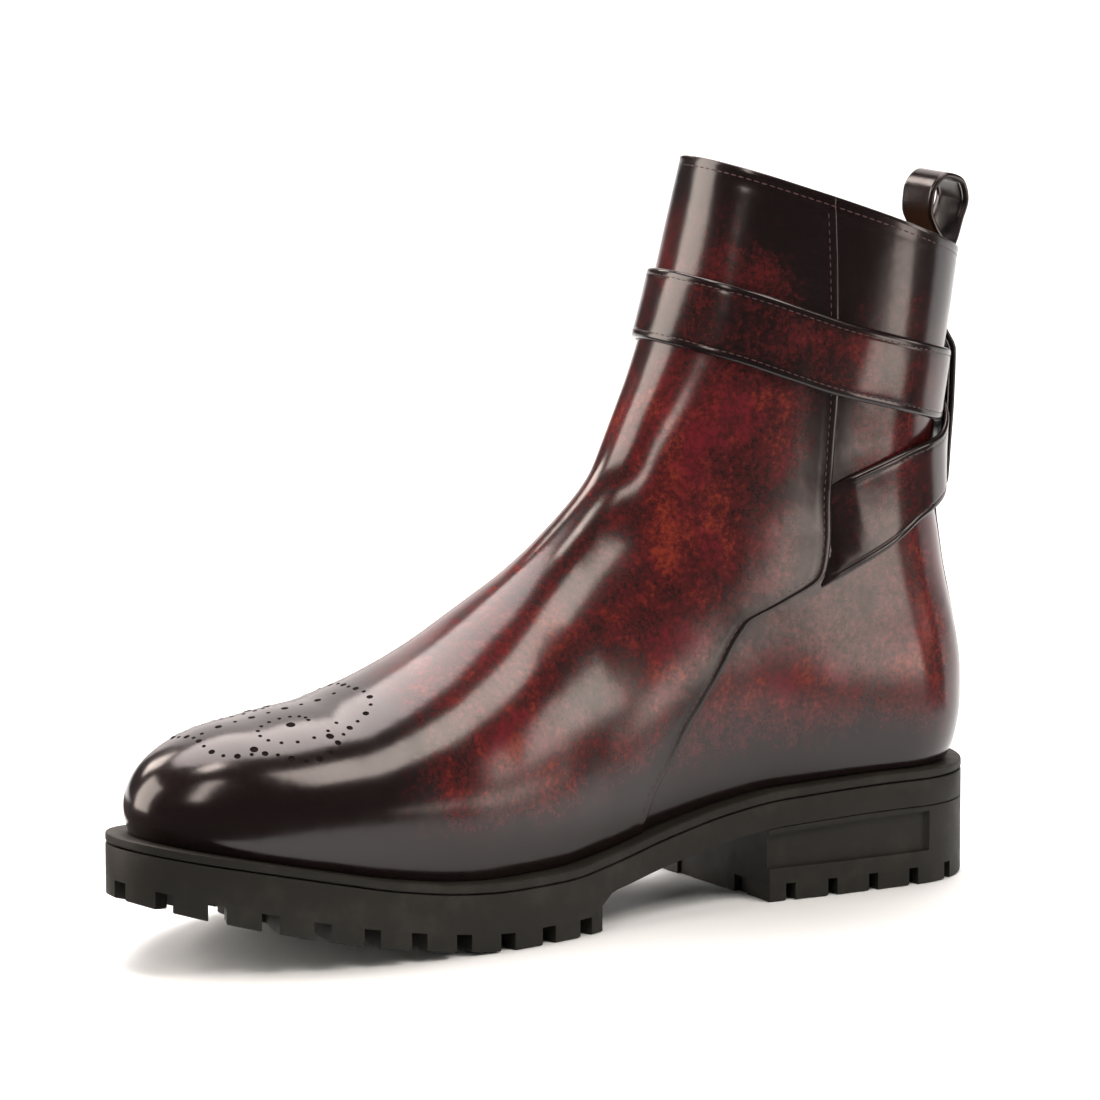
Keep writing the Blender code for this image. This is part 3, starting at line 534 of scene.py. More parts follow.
def make(name: str, shape: Shape, finish: bpy.types.Material, smooth_to: float = 40.0) -> bpy.types.Object:
    """Object of this name, its faces turned outwards, riding on the boot.

    Args:
        name: the piece's name.
        shape: its points, faces and values.
        finish: its material.
        smooth_to: edges sharper than this many degrees stay sharp.

    Returns:
        The new object at the origin.
    """
    mesh = bpy.data.meshes.new(name)
    faces = [face for group in shape.faces for face in group.tolist()]
    mesh.from_pydata(to_world(shape.points).tolist(), [], faces)
    for label, value in shape.values.items():
        mesh.attributes.new(label, "FLOAT", "POINT").data.foreach_set("value", value.astype(np.float32))
    work = bmesh.new()
    work.from_mesh(mesh)
    bmesh.ops.remove_doubles(work, verts=work.verts, dist=1e-7)
    bmesh.ops.recalc_face_normals(work, faces=work.faces)
    work.to_mesh(mesh)
    work.free()
    mesh.shade_smooth()
    mesh.set_sharp_from_angle(angle=math.radians(smooth_to))
    mesh.materials.append(finish)
    made = placed(name, mesh)
    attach(made, BODY)
    log.info("%s: %d faces", name, len(mesh.polygons))
    return made


# ---------------------------------------------------------------- shader maths


class Value:
    """A number socket that can be added, multiplied and compared as in an expression."""

    def __init__(self, graph: Graph, socket: bpy.types.NodeSocket) -> None:
        """Wraps one output socket of a graph."""
        self.graph = graph
        self.socket = socket

    def _math(self, operation: str, *others: Value | float) -> Value:
        """A Math node on this value and the others."""
        return Value(self.graph, self.graph.node("ShaderNodeMath", {"operation": operation}, self, *others))

    def __add__(self, other: Value | float) -> Value:
        """Sum."""
        return self._math("ADD", other)

    __radd__ = __add__

    def __mul__(self, other: Value | float) -> Value:
        """Product."""
        return self._math("MULTIPLY", other)

    __rmul__ = __mul__

    def __sub__(self, other: Value | float) -> Value:
        """Difference."""
        return self._math("SUBTRACT", other)

    def __rsub__(self, other: Value | float) -> Value:
        """Difference the other way round."""
        return self * -1 + other

    def __pow__(self, power: float) -> Value:
        """Power."""
        return self._math("POWER", power)

    def clamp(self) -> Value:
        """Held between 0 and 1."""
        return Value(self.graph, self.graph.node("ShaderNodeClamp", {}, self))

    def between(self, low: float, high: float) -> Value:
        """0 below low, 1 above high and smooth between them."""
        settings = {"interpolation_type": "SMOOTHSTEP"}
        return Value(self.graph, self.graph.node("ShaderNodeMapRange", settings, self, low, high, 0.0, 1.0))


class Graph:
    """One material's nodes: makes nodes by type and links them to the Principled shader."""

    def __init__(self, name: str) -> None:
        """Starts a material of this name with its Principled shader."""
        self.material = bpy.data.materials.new(name)
        self.material.use_nodes = True
        self.nodes = self.material.node_tree.nodes
        self.links = self.material.node_tree.links
        self.shader = self.nodes["Principled BSDF"]
        coordinates = self.nodes.new("ShaderNodeTexCoord")
        self.place = coordinates.outputs["Object"]

    def node(self, kind: str, settings: dict, *inputs: object, output: int = 0) -> bpy.types.NodeSocket:
        """Adds a node.

        Args:
            kind: the node's type.
            settings: its own properties, set first; stops is a colour ramp's list of (place, colour).
            inputs: values or links of its sockets in order, None to leave one as it is.
            output: which output to return.

        Returns:
            The node's output socket.
        """
        made = self.nodes.new(kind)
        for key, value in settings.items():
            if key == "stops":
                ramp = made.color_ramp.elements
                while len(ramp) < len(value):
                    ramp.new(0.5)
                for element, (place, colour) in zip(ramp, value):
                    element.position = place
                    element.color = (*colour, 1)
            else:
                setattr(made, key, value)
        for socket, value in zip(made.inputs, inputs):
            self.put(socket, value)
        return made.outputs[output]

    def put(self, socket: bpy.types.NodeSocket, value: object) -> None:
        """Links or sets one input socket."""
        if value is None:
            return
        if isinstance(value, Value):
            value = value.socket
        if isinstance(value, bpy.types.NodeSocket):
            self.links.new(value, socket)
        elif isinstance(value, tuple) and len(value) == 3 and socket.type == "RGBA":
            socket.default_value = (*value, 1)
        else:
            socket.default_value = value

    def noise(self, size_mm: float, detail: float = 3.0, roughness: float = 0.55, warp: float = 0.0,
              stretch: Vector3 = (1, 1, 1)) -> Value:
        """Smooth noise from 0 to 1 whose blobs are about size_mm across in object space."""
        place = self.place
        if stretch != (1, 1, 1):
            place = self.node("ShaderNodeMapping", {}, place, None, None, stretch)
        scale = 1000 / size_mm
        noise = self.node("ShaderNodeTexNoise", {}, place, None, scale, detail, roughness, 2.0, 0.5, warp)
        return Value(self, noise)

    def carried(self, name: str) -> Value:
        """A value carried at the mesh's points."""
        return Value(self, self.node("ShaderNodeAttribute", {"attribute_name": name}, output=2))

    def mix(self, share: Value | float, first: object, second: object) -> bpy.types.NodeSocket:
        """Colour between first and second."""
        made = self.nodes.new("ShaderNodeMix")
        made.data_type = "RGBA"
        self.put(made.inputs[0], share)
        self.put(made.inputs[6], first)
        self.put(made.inputs[7], second)
        return made.outputs[2]

    def ramp(self, value: Value, stops: list[tuple[float, Vector3]]) -> bpy.types.NodeSocket:
        """Colour looked up along a ramp."""
        return self.node("ShaderNodeValToRGB", {"stops": stops}, value)

    def bump(self, height: Value, millimetres: float, strength: float = 1.0) -> bpy.types.NodeSocket:
        """Normal tilted by a height of so many millimetres."""
        made = self.nodes.new("ShaderNodeBump")
        self.put(made.inputs["Height"], height)
        made.inputs["Distance"].default_value = millimetres * MM
        made.inputs["Strength"].default_value = strength
        return made.outputs[0]

    def finish(self, **sockets: object) -> bpy.types.Material:
        """Sets the shader's sockets, named with underscores for spaces, and returns the material."""
        for name, value in sockets.items():
            self.put(self.shader.inputs[name.replace("_", " ")], value)
        return self.material


# ---------------------------------------------------------------- finishes


@dataclass(frozen=True)
class Patina:
    """Hand-rubbed calf: red mottling that is burnished nearly black at edges, seams and toe, under wax."""

    name: str
    bright: Vector3 = (0.135, 0.02, 0.0115)
    cherry: Vector3 = (0.095, 0.0085, 0.0135)
    red: Vector3 = (0.05, 0.0075, 0.0078)
    wine: Vector3 = (0.023, 0.0055, 0.0055)
    black: Vector3 = (0.0065, 0.0035, 0.0036)
    gloss: float = 0.19
    darkness: float = 0.0

    def material(self) -> bpy.types.Material:
        """Burnish carried by the mesh, broken by three sizes of noise, picks the dye's depth.

        The brightest dye is a warm red in some patches and a cooler one in others.
        """
        graph = Graph(self.name)
        clouds = graph.noise(40, 2.5, 0.5, 0.6)
        blots = graph.noise(9, 3, 0.65, 1.2)
        specks = graph.noise(1.7, 2.5, 0.7)
        burnish = graph.carried("burnish")
        depth = burnish * 0.9 + (clouds - 0.5) * 1.05 + (blots - 0.5) * 1.0 + (specks - 0.5) * 1.25
        depth = depth + (0.57 + self.darkness)
        dark = [(0.42, self.red), (0.68, self.wine), (0.94, self.black)]
        dyes = [graph.ramp(depth.clamp(), [(0.1, bright), *dark]) for bright in (self.bright, self.cherry)]
        colour = graph.mix(graph.noise(16, 2.5, 0.6).between(0.42, 0.6), *dyes)
        grain = graph.noise(0.6, 2)
        waves = graph.noise(9, 2)
        rough = self.gloss + (blots - 0.5) * 0.12 + (specks - 0.5) * 0.08
        graph.shader.inputs["Specular IOR Level"].default_value = 0.42
        fine = graph.bump(grain * 0.05 + waves * 0.95, 0.2, 0.35)
        return graph.finish(Base_Color=colour, Roughness=rough, Normal=fine)


@dataclass(frozen=True)
class Rubber:
    """Moulded sole rubber: dark olive grey with faint scuffs and a fine matt skin."""

    name: str
    base: Vector3 = (0.0125, 0.0122, 0.01)
    worn: Vector3 = (0.0285, 0.0275, 0.0225)
    roughness: float = 0.56

    def material(self) -> bpy.types.Material:
        """Base colour dusted lighter by noise, with a fine bump."""
        graph = Graph(self.name)
        dust = graph.noise(14, 4, 0.6).between(0.45, 0.75) * 0.45
        skin = graph.noise(0.7, 2)
        colour = graph.mix(dust, self.base, self.worn)
        rough = self.roughness + (graph.noise(5, 3) - 0.5) * 0.2
        graph.shader.inputs["Specular IOR Level"].default_value = 0.18
        return graph.finish(Base_Color=colour, Roughness=rough, Normal=graph.bump(skin, 0.06, 0.5))


@dataclass(frozen=True)
class Plain:
    """A finish of one colour broken by noise: lining, a hole's painted shade, thread, board or metal."""

    name: str
    light: Vector3
    dark: Vector3
    roughness: float
    metallic: float = 0.0
    size: float = 3.0
    grain: float = 0.05
    shine: float = 0.4

    def material(self) -> bpy.types.Material:
        """Two near colours mixed by noise of the finish's own size, with a little bump of the same noise."""
        graph = Graph(self.name)
        patches = graph.noise(self.size, 3)
        colour = graph.mix(patches.between(0.35, 0.7), self.light, self.dark)
        rough = self.roughness + (patches - 0.5) * 0.12
        graph.shader.inputs["Metallic"].default_value = self.metallic
        graph.shader.inputs["Specular IOR Level"].default_value = self.shine
        return graph.finish(Base_Color=colour, Roughness=rough, Normal=graph.bump(patches, self.grain, 0.5))


class Finish(Enum):
    """Every finish on the boot."""

    UPPER = Patina("oxblood_calf")
    STRAP = Patina("strap_calf", darkness=0.14)
    # painted shade: the near-black that stands in for the depth of each punched hole
    HOLE = Plain("hole_painted_shade", (0.006, 0.004, 0.004), (0.003, 0.002, 0.002), 0.85, shine=0.05)
    THREAD = Plain("waxed_thread", (0.06, 0.028, 0.028), (0.03, 0.014, 0.014), 0.55, size=0.6)
    LINING = Plain("lining_leather", (0.30, 0.17, 0.09), (0.23, 0.12, 0.065), 0.62, size=6.0)
    INSOLE = Plain("insole_calf", (0.36, 0.21, 0.12), (0.28, 0.16, 0.09), 0.6, size=9.0)
    RUBBER = Rubber("moulded_rubber")
    METAL = Plain("polished_gilt", (0.83, 0.77, 0.62), (0.75, 0.69, 0.54), 0.2, 1.0, size=4.0, grain=0.01)

    def material(self) -> bpy.types.Material:
        """The finish's material, made once."""
        return bpy.data.materials.get(self.value.name) or self.value.material()


# ---------------------------------------------------------------- stitches and holes


@dataclass(frozen=True)
class Stitching:
    """A row of sewn stitches: small round beads end to end, half sunk in the leather."""

    pitch: float = 2.5
    length: float = 1.9
    width: float = 0.5
    height: float = 0.36

    def row(self, path: Array, outward: Array) -> Shape:
        """Stitches along a path.

        Args:
            path: points along the row, on the leather.
            outward: the leather's normals at those points.

        Returns:
            One mesh of beads, spaced evenly.
        """
        length = walked(path)
        count = max(int(length[-1] // self.pitch), 1)
        at = (np.arange(count) + 0.5) * length[-1] / count
        centre, normal, ahead = (np.stack([np.interp(at + shift, length, line[:, k]) for k in range(3)], -1)
                                 for line, shift in ((path, 0), (outward, 0), (path, 0.4)))
        run = unit(ahead - centre)
        normal = unit(normal)
        across = np.cross(run, normal)
        axes = np.stack([run * self.length / 2, across * self.width / 2, normal * self.height / 2], 1)
        return scatter(centre, axes, *round_bead(6, (0.16, 0.38, 0.62, 0.84)))


@dataclass(frozen=True)
class Punching:
    """Punched holes: a dark floor of painted shade, standing in for the hole's depth, inside a slightly raised
    burnished rim.
    """

    rim: float = 0.28
    proud: float = 0.1
    floor: float = 0.035
    sunk: float = 0.4
    around: int = 14

    def holes(self, centre: Array, outward: Array, radius: Array) -> Shape:
        """One small closed button for each hole.

        Its profile from the middle out is a flat floor, the rim's inner wall, its crest and its outer foot.
        """
        turn = np.arange(self.around) * 2 * math.pi / self.around
        side = unit(np.cross(outward, UP + 0.01))
        other = np.cross(outward, side)
        circle = side[:, None] * np.cos(turn)[:, None] + other[:, None] * np.sin(turn)[:, None]
        # the whole button takes the dark finish: its floor is painted shade in place of the hole's depth
        profile = [(0.86, self.floor), (1.0, self.floor + self.proud * 0.6), (1.0 + self.rim * 0.5, self.proud),
                   (1.0 + self.rim, 0.0), (1.0 + self.rim, -self.sunk)]
        rings = np.stack([centre[:, None] + circle * (radius * share)[:, None, None]
                          + outward[:, None] * height for share, height in profile], 1)
        rows, ring = len(profile), np.arange(self.around)
        caps = np.stack([ring, ring[::-1] + (rows - 1) * self.around])
        faces = [grid_quads(rows, self.around, wrap=True), caps]
        return Shape(rings.reshape(-1, 3), copied(faces, len(centre), rows * self.around))


@dataclass(frozen=True)
class Medallion:
    """Toe punching: on each side a scroll of small holes round a large one, inside a wavy border."""

    border_l: float = 251.0
    border_radius: float = 29.0
    border_steps: int = 22
    wave: float = 0.06
    heart: tuple[float, float] = (14.0, 252.0)
    scroll_radius: float = 10.5
    scroll_closing: float = 6.2
    scroll_long: float = 1.45
    scroll_steps: int = 14
    large: tuple[Vector3, ...] = ((14, 252, 1.15), (24.5, 244, 1.0), (20, 268, 1.0))
    line_start: float = 229.0
    line_step: float = 5.8
    line_holes: int = 9
    small: float = 0.5
    border_large: float = 0.8
    line_large: float = 0.9

    def holes(self) -> Array:
        """Rows x from the toe's middle line, l and radius of every hole, mirrored over the middle line."""
        holes: list[Vector3] = []

        def mirrored(x: float, l: float, radius: float) -> None:
            """A hole on each side of the middle line, or one hole on it."""
            holes.append((x, l, radius))
            if abs(x) > 0.5:
                holes.append((-x, l, radius))

        for step in range(self.border_steps + 1):  # large and small holes in turn, from heel side to tip
            angle = math.radians(180 * step / self.border_steps - 90)
            reach = self.border_radius * (1 + self.wave * math.cos(6 * angle))
            mirrored(reach * math.cos(angle), self.border_l + reach * math.sin(angle),
                     self.border_large if step % 2 else self.small)
        for step in range(self.scroll_steps + 1):  # a spiral that closes in on the large hole at its heart
            share = step / self.scroll_steps
            angle = math.radians(-60 + 330 * share)
            reach = self.scroll_radius - self.scroll_closing * share
            mirrored(self.heart[0] + reach * math.cos(angle),
                     self.heart[1] + reach * self.scroll_long * math.sin(angle), self.small)
        for hole in self.large:
            mirrored(*hole)
        for step in range(self.line_holes):
            mirrored(0, self.line_start + self.line_step * step, self.line_large if step % 2 else self.small)
        return np.array(holes).T


# ---------------------------------------------------------------- the upper


@dataclass(frozen=True)
class Panel:
    """A leather panel of the upper between two edges that run from feather line to collar."""

    first: Curve
    second: Curve
    shift_first: float = 0.0
    shift_second: float = 0.0
    columns: int = 190
    rows: int = 150
    edges: tuple[float, ...] = (0, 0.16, 0.45, 1.0, 1.9, 3.2, 5.0)
    near_top: tuple[float, ...] = (0.0, 0.0008, 0.0022, 0.005, 0.01)
    even_up_to: float = 0.985
    samples: int = 400

    def grid(self) -> tuple[Array, Array, Array, Array, Array]:
        """Grid of the panel.

        Rows go up in rise and columns from the first edge to the second, closer together at the edges. Each
        row's places are spaced by length over the surface.

        Returns:
            turn, rise, and the distances in mm from the first edge, the second edge and the collar.
        """
        level = np.linspace(0, 1, self.rows)
        level = np.unique(np.concatenate([level[level < self.even_up_to], 1 - np.array(self.near_top)]))
        share = np.linspace(0, 1, self.samples)
        start = np.radians(self.first(level) + self.shift_first)
        end = np.radians(self.second(level) + self.shift_second)
        sample = start[:, None] + (end - start)[:, None] * share
        line = FORM.surface(sample, np.broadcast_to(level[:, None], sample.shape))
        steps = np.linalg.norm(np.diff(line, axis=1), axis=2)
        length = np.concatenate([np.zeros((len(level), 1)), np.cumsum(steps, axis=1)], axis=1)
        from_first = np.array([spread(whole, self.edges, self.columns) for whole in length[:, -1]])
        turn = np.array([np.interp(*row) for row in zip(from_first, length, sample)])
        rise = np.broadcast_to(level[:, None], turn.shape)
        middle = FORM.surface(turn, rise)
        up = np.concatenate([np.zeros((1, turn.shape[1])),
                             np.cumsum(np.linalg.norm(np.diff(middle, axis=0), axis=2), axis=0)])
        return turn, rise, from_first, length[:, -1:] - from_first, up[-1] - up


@dataclass
class Upper:
    """Front panel with its flap, quarters, lining, collar edge, seams, creases and toe punching."""

    front_thick: float = 0.85
    quarter_lift: float = -0.9
    quarter_thick: float = 0.85
    edge_round: float = 0.45
    under: float = 9.0
    wall: float = 2.2
    lining_thick: float = 0.42
    seam_in: float = 2.6
    flap_seam_in: float = 2.2
    collar_seam_in: float = 3.0
    groove: float = 0.22
    pad: float = 0.16
    stitch_sunk: float = 0.12
    toe_narrowing: float = 0.93
    toe_dark: Blend = Blend(206, 36)
    shin_up: Blend = Blend(150, 50)
    shin_back: Blend = Blend(96, -26)
    stitching: Stitching = field(default_factory=Stitching)
    wrinkles: tuple[tuple[float, ...], ...] = (  # l, z, slant in degrees, height, half width, half length
        (122, 128, -46, -0.26, 8.0, 24), (108, 146, -52, 0.2, 9.0, 22), (137, 108, -42, 0.26, 9.0, 24),
        (152, 88, -34, -0.22, 9.0, 22), (170, 78, -26, 0.24, 10.0, 24), (192, 70, -16, -0.16, 9.0, 26),
    )
    islands: tuple[tuple[float, ...], ...] = (  # l, z, half sizes, how much redder
        (97, 148, 22, 24, 0.26), (104, 120, 19, 20, 0.24), (164, 95, 28, 14, 0.22), (128, 76, 16, 16, 0.27),
        (184, 57, 19, 14, 0.27), (78, 70, 26, 8, 0.2), (28, 88, 13, 36, 0.3), (84, 199, 15, 18, 0.2),
    )

    def creases(self, point: Array) -> Array:
        """Soft troughs and ridges across the instep's bend, at the ankle and over the vamp, in mm.

        Each crease is a bell across a line in the side view, fading along it.
        """
        l, z = point[..., 1], point[..., 2]
        lift = np.zeros_like(l)
        for at_l, at_z, slant, height, width, reach in self.wrinkles:
            angle = math.radians(slant)
            across = (l - at_l) * math.cos(angle) + (z - at_z) * math.sin(angle)
            along = (z - at_z) * math.cos(angle) - (l - at_l) * math.sin(angle)
            lift = lift + height * bump_of(across, width) * bump_of(along, reach)
        return lift

    def burnish(self, point: Array, seam: Array, top: Array) -> Array:
        """How far the dye is rubbed to black at toe, seam, collar, foot and shin, less at the red islands."""
        l, z = point[..., 1], point[..., 2]
        toe = self.toe_dark(l)
        by_seam = 0.85 * bump_of(seam, 9)
        collar = 0.75 * bump_of(top, 20)
        foot = 0.8 * bump_of(z - FORM.feather(l), 15)
        shin = 0.55 * self.shin_up(z) * self.shin_back(l)
        left = np.ones_like(l)
        for share in (toe, by_seam, collar, foot, shin):
            left = left * (1 - share)
        red = np.zeros_like(l)
        for at_l, at_z, wide, tall, bright in self.islands:
            red = np.maximum(red, bright * bump_of(np.hypot((l - at_l) / wide, (z - at_z) / tall), 1.0))
        return 1 - left - red * (1 - toe)

    def edge_drop(self, distance: Array, thick: float) -> Array:
        """Lift of a cut edge: a quarter round that falls by half the leather's thickness."""
        t = np.clip(1 - distance / self.edge_round, 0, 1)
        return -thick / 2 * (1 - np.sqrt(1 - t**2 * 0.98))

    def leather(self, base: Array, out: Array, lift: Array, thick: Array | float, seam: Array,
                top: Array) -> Shape:
        """Closed leather between two lifts off the form, carrying its burnish."""
        return shell(base + out * lift[..., None], base + out * (lift - thick)[..., None],
                     values={"burnish": self.burnish(base, seam, top)})

    def build_front(self) -> None:
        """Vamp, shaft front and flap in one panel."""
        turn, rise, inner, outer, top = Panel(MEDIAL_SEAM, FLAP_EDGE).grid()
        base = FORM.surface(turn, rise)
        out = FORM.outward(turn, rise)
        edge = np.minimum(inner, outer)
        lift = self.creases(base) * ease(edge / 10)
        lift = lift + self.edge_drop(edge, self.front_thick) + self.edge_drop(top, self.front_thick)
        groove = self.groove * (bump_of(inner - self.seam_in, 0.55) + bump_of(outer - self.flap_seam_in, 0.5))
        groove = groove + 0.25 * bump_of(top - self.collar_seam_in, 0.6)
        pad = self.pad * (bump_of(inner - 1.2, 0.9) + bump_of(outer - 1.0, 0.9) + bump_of(top - 1.4, 0.9))
        flap = ease((rise - 0.49) / 0.05) * bump_of(outer, 9)
        lift = lift - groove + pad + 0.35 * flap
        thick = self.front_thick + 0.85 * ease((edge - 12) / 10)
        piece = make("front_panel", self.leather(base, out, lift, thick, edge, top), Finish.UPPER.material())
        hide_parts("upper")

    def build_quarters(self) -> None:
        """The two quarters as one panel round the heel, tucked under the front panel's edges."""
        edge_back = Curve(FLAP_EDGE.at, tuple(value - 360 for value in FLAP_EDGE.value))
        panel = Panel(edge_back, MEDIAL_SEAM, -self.under, self.under, columns=150)
        turn, rise, first, second, top = panel.grid()
        base = FORM.surface(turn, rise)
        out = FORM.outward(turn, rise)
        seam = np.minimum(np.abs(first - 8), np.abs(second - 8))
        thick = self.quarter_thick
        lift = self.quarter_lift + self.edge_drop(top, thick)
        lift = lift - self.groove * bump_of(top - self.collar_seam_in, 0.6)
        lift = lift + 0.14 * bump_of(top - 1.4, 0.9)
        piece = make("quarters", self.leather(base, out, lift, thick, seam, top), Finish.UPPER.material())
        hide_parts("upper")

    def build_lining(self) -> None:
        """Lining from the collar down to the insole, its top edge flush with the leathers."""
        level = np.concatenate([np.linspace(0, 0.97, 46), [0.985, 0.994, 0.998]])
        rise, turn = np.meshgrid(level, np.linspace(0, 2 * math.pi, 161)[:-1], indexing="ij")
        base = FORM.surface(turn, rise)
        out = FORM.outward(turn, rise)
        face = base - out * (self.wall - self.lining_thick)
        back = base - out * self.wall
        for ring in (face[0], back[0]):
            ring[:, 2] = FORM.feather(ring[:, 1]) + 0.2
        piece = make("lining", shell(face, back, wrap=True), Finish.LINING.material())

    def seam_path(self, edge: Curve, inset: float, low: float, high: float) -> tuple[Array, Array]:
        """Points and normals of a line inset mm inside the front panel's edge, from rise low to high."""
        level = np.linspace(low, high, 260)
        turn = np.radians(edge(level))
        way = 1.0 if edge is MEDIAL_SEAM else -1.0
        run = unit(np.gradient(FORM.surface(turn, level), axis=0))
        across = np.cross(FORM.outward(turn, level), run)
        by_turn, _ = FORM.slopes(turn, level)
        across *= np.sign((across * by_turn).sum(-1) * way)[:, None]
        for _ in range(3):
            turn, level = FORM.walk(turn, level, across * inset / 3)
        level = np.clip(level, 0, 1)
        return FORM.off(turn, level, 0.0), FORM.outward(turn, level)

    def build_stitches(self) -> None:
        """Stitch rows inside the front panel's edges and under the collar."""
        shapes = []
        for edge, inset, high in ((MEDIAL_SEAM, self.seam_in, 0.985), (FLAP_EDGE, self.flap_seam_in, 0.97)):
            path, out = self.seam_path(edge, inset, 0.01, high)
            shapes.append(self.stitching.row(path - out * self.stitch_sunk, out))
        turn = np.linspace(0, 2 * math.pi, 700)
        rise = np.full_like(turn, 1.0)
        down = -unit(FORM.slopes(turn, rise)[1])
        for _ in range(int(self.collar_seam_in)):
            turn, rise = FORM.walk(turn, rise, down)
        quarter = (np.degrees(turn) < MEDIAL_SEAM(0.98)) | (np.degrees(turn) > FLAP_EDGE(0.98))
        lift = np.where(quarter, self.quarter_lift - self.stitch_sunk, -self.stitch_sunk)
        out = FORM.outward(turn, rise)
        path = FORM.surface(turn, rise) + out * lift[:, None]
        for chosen in (quarter & (turn < math.pi), ~quarter, quarter & (turn > math.pi)):
            shapes.append(self.stitching.row(path[chosen], out[chosen]))
        make("upper_stitches", reduce(Shape.joined, shapes), Finish.THREAD.material())

    def build_toe_punching(self) -> None:
        """The medallion's holes, each sought on the vamp and set along its normal."""
        x, l, radius = Medallion().holes()
        x = x * self.toe_narrowing
        middle = FORM.ridge(l)
        turn, rise = FORM.seek(x + middle, l)
        centre = FORM.surface(turn, rise)
        out = FORM.outward(turn, rise)
        found = np.hypot(centre[:, 0] - x - middle, centre[:, 1] - l) < 0.3
        log.info("toe holes: %d of %d placed", found.sum(), len(x))
        # the holes are dark buttons of painted shade on the vamp, not cut through it
        make("toe_punching", Punching().holes(centre[found], out[found], radius[found]), Finish.HOLE.material())

    def build(self) -> None:
        """Makes every piece of the upper."""
        self.build_front()
        self.build_quarters()
        self.build_lining()
        self.build_stitches()
        self.build_toe_punching()


# ---------------------------------------------------------------- straps


def lines_across(half: Array | float, inward: Sequence[float]) -> Array:
    """Places across a strap from edge to edge, so far inside each edge, and its middle."""
    side = np.asarray(half)[..., None] - np.array(inward)
    return np.concatenate([-side, np.zeros((*side.shape[:-1], 1)), side[..., ::-1]], axis=-1)


def edge_rounding(inside: Array, radius: float) -> Array:
    """Share of a strap's thickness so far inside its edge: a quarter round over the radius."""
    return np.sqrt(1 - np.clip(1 - inside / radius, 0, 1) ** 2 * 0.96)


@dataclass
class Sheet:
    """Rows of points across a strap, each row one place along it.

    With them go their normals, their places in mm from the middle line, the rows' half widths and lifts, the
    length walked to each row, and the highest lift that a covering panel leaves at each point.
    """

    points: Array
    out: Array
    places: Array
    half: Array
    lift: Array
    length: Array
    room: Array

    @property
    def inside(self) -> Array:
        """Distance of every point from the strap's nearer edge."""
        return self.half[:, None] - np.abs(self.places)

    @property
    def to_go(self) -> Array:
        """Length that is left up to the strap's last row."""
        return self.length[-1] - self.length


@dataclass(frozen=True)
class StrapPath:
    """A strap's middle line over the upper, its width and how far its inner face stands off."""

    rise: Curve
    wide: Curve
    lift: Curve
    inward: tuple[float, ...] = (0, 0.12, 0.4, 0.9, 1.5, 1.9, 2.2, 2.5, 2.8, 3.2, 4.2, 6.0)
    cover: float = 14.0

    def sheet(self, start: float, end: float, count: int, before: Callable[[Array, Array], Array],
              round_tip: bool = False) -> Sheet:
        """Rows across the strap, each line walked over the surface square to the strap's run.

        The lines are closer at the rounded edges and at the crease inside each.

        Args:
            start: first turn in degrees.
            end: last turn in degrees.
            count: rows along the strap.
            before: degrees of turn that are left, at a turn and a rise, before the panel that covers the end.
            round_tip: whether the lines draw in over the last half width to a half circle.

        Returns:
            The sheet. Its room lies under the covering panel past that panel's edge and rises over the last
            12 mm before it.
        """
        degrees = np.linspace(start, end, count)
        turn, rise = np.radians(degrees), self.rise(degrees)
        middle = FORM.surface(turn, rise)
        length = walked(middle)
        full = half = self.wide(degrees) / 2
        if round_tip:
            short = np.clip(1 - (length[-1] - length) / full, 0, 1)
            half = full * np.sqrt(np.clip(1 - short**2, 0.004, 1))
        places = lines_across(full, self.inward) * (half / full)[:, None]
        turn, rise = walk_square(turn, rise, unit(np.gradient(middle, axis=0)), places)
        per_radian = np.linalg.norm(FORM.slopes(turn, rise)[0], axis=-1)
        left = np.radians(before(np.degrees(turn), rise)) * per_radian
        under = -0.5 + 2.2 * ease(left / 12) + 0.8 * np.clip(left, -3, 0)
        room = np.where(left < self.cover, under, FAR)
        return Sheet(FORM.surface(turn, rise), FORM.outward(turn, rise), places, half, self.lift(degrees),
                     length, room)


LONG_STRAP = StrapPath(
    Curve(
        (-82, -70, -58, -45, -30, -17, 0, 30, 71.5, 94, 110, 135, 161, 180, 199, 225, 249, 266, 288, 301),
        (0.57, 0.61, 0.665, 0.715, 0.766, 0.796, 0.811, 0.82, 0.826, 0.83, 0.836, 0.845, 0.849, 0.85, 0.849,
         0.844, 0.834, 0.826, 0.812, 0.802),
    ),
    Curve((-82, -70, -58, -45, 301), (29, 27, 24, 22.5, 22.5)),
    Curve(
        (-82, -60, -40, 0, 70, 90, 180, 222, 228, 232, 236, 240, 244, 248, 252, 256, 260, 264, 268, 272, 284,
         294, 301),
        (-0.85, -0.8, -0.7, -0.6, -0.5, 0.25, 0.25, 0.35, 0.75, 1.35, 2.2, 3.2, 4.1, 4.6, 4.4, 3.2, 2.2, 2.15,
         2.4, 2.5, 2.5, 2.5, 2.7),
    ),
)
SHORT_STRAP = StrapPath(
    Curve(
        (-111, -94, -80, -55, -35, -17, 0, 30, 54.5, 70, 84),
        (0.834, 0.835, 0.835, 0.832, 0.82, 0.796, 0.768, 0.712, 0.669, 0.622, 0.568),
    ),
    Curve((-111, 30, 54.5, 70, 82), (22.5, 22.5, 25, 27.8, 28.6)),
    Curve((-111, -88, -80, -64, -51, -44, 34, 42, 56, 84),
          (0.3, 0.3, 0.0, -0.3, 1.2, 1.7, 1.7, 1.2, -0.7, -1.3)),
)


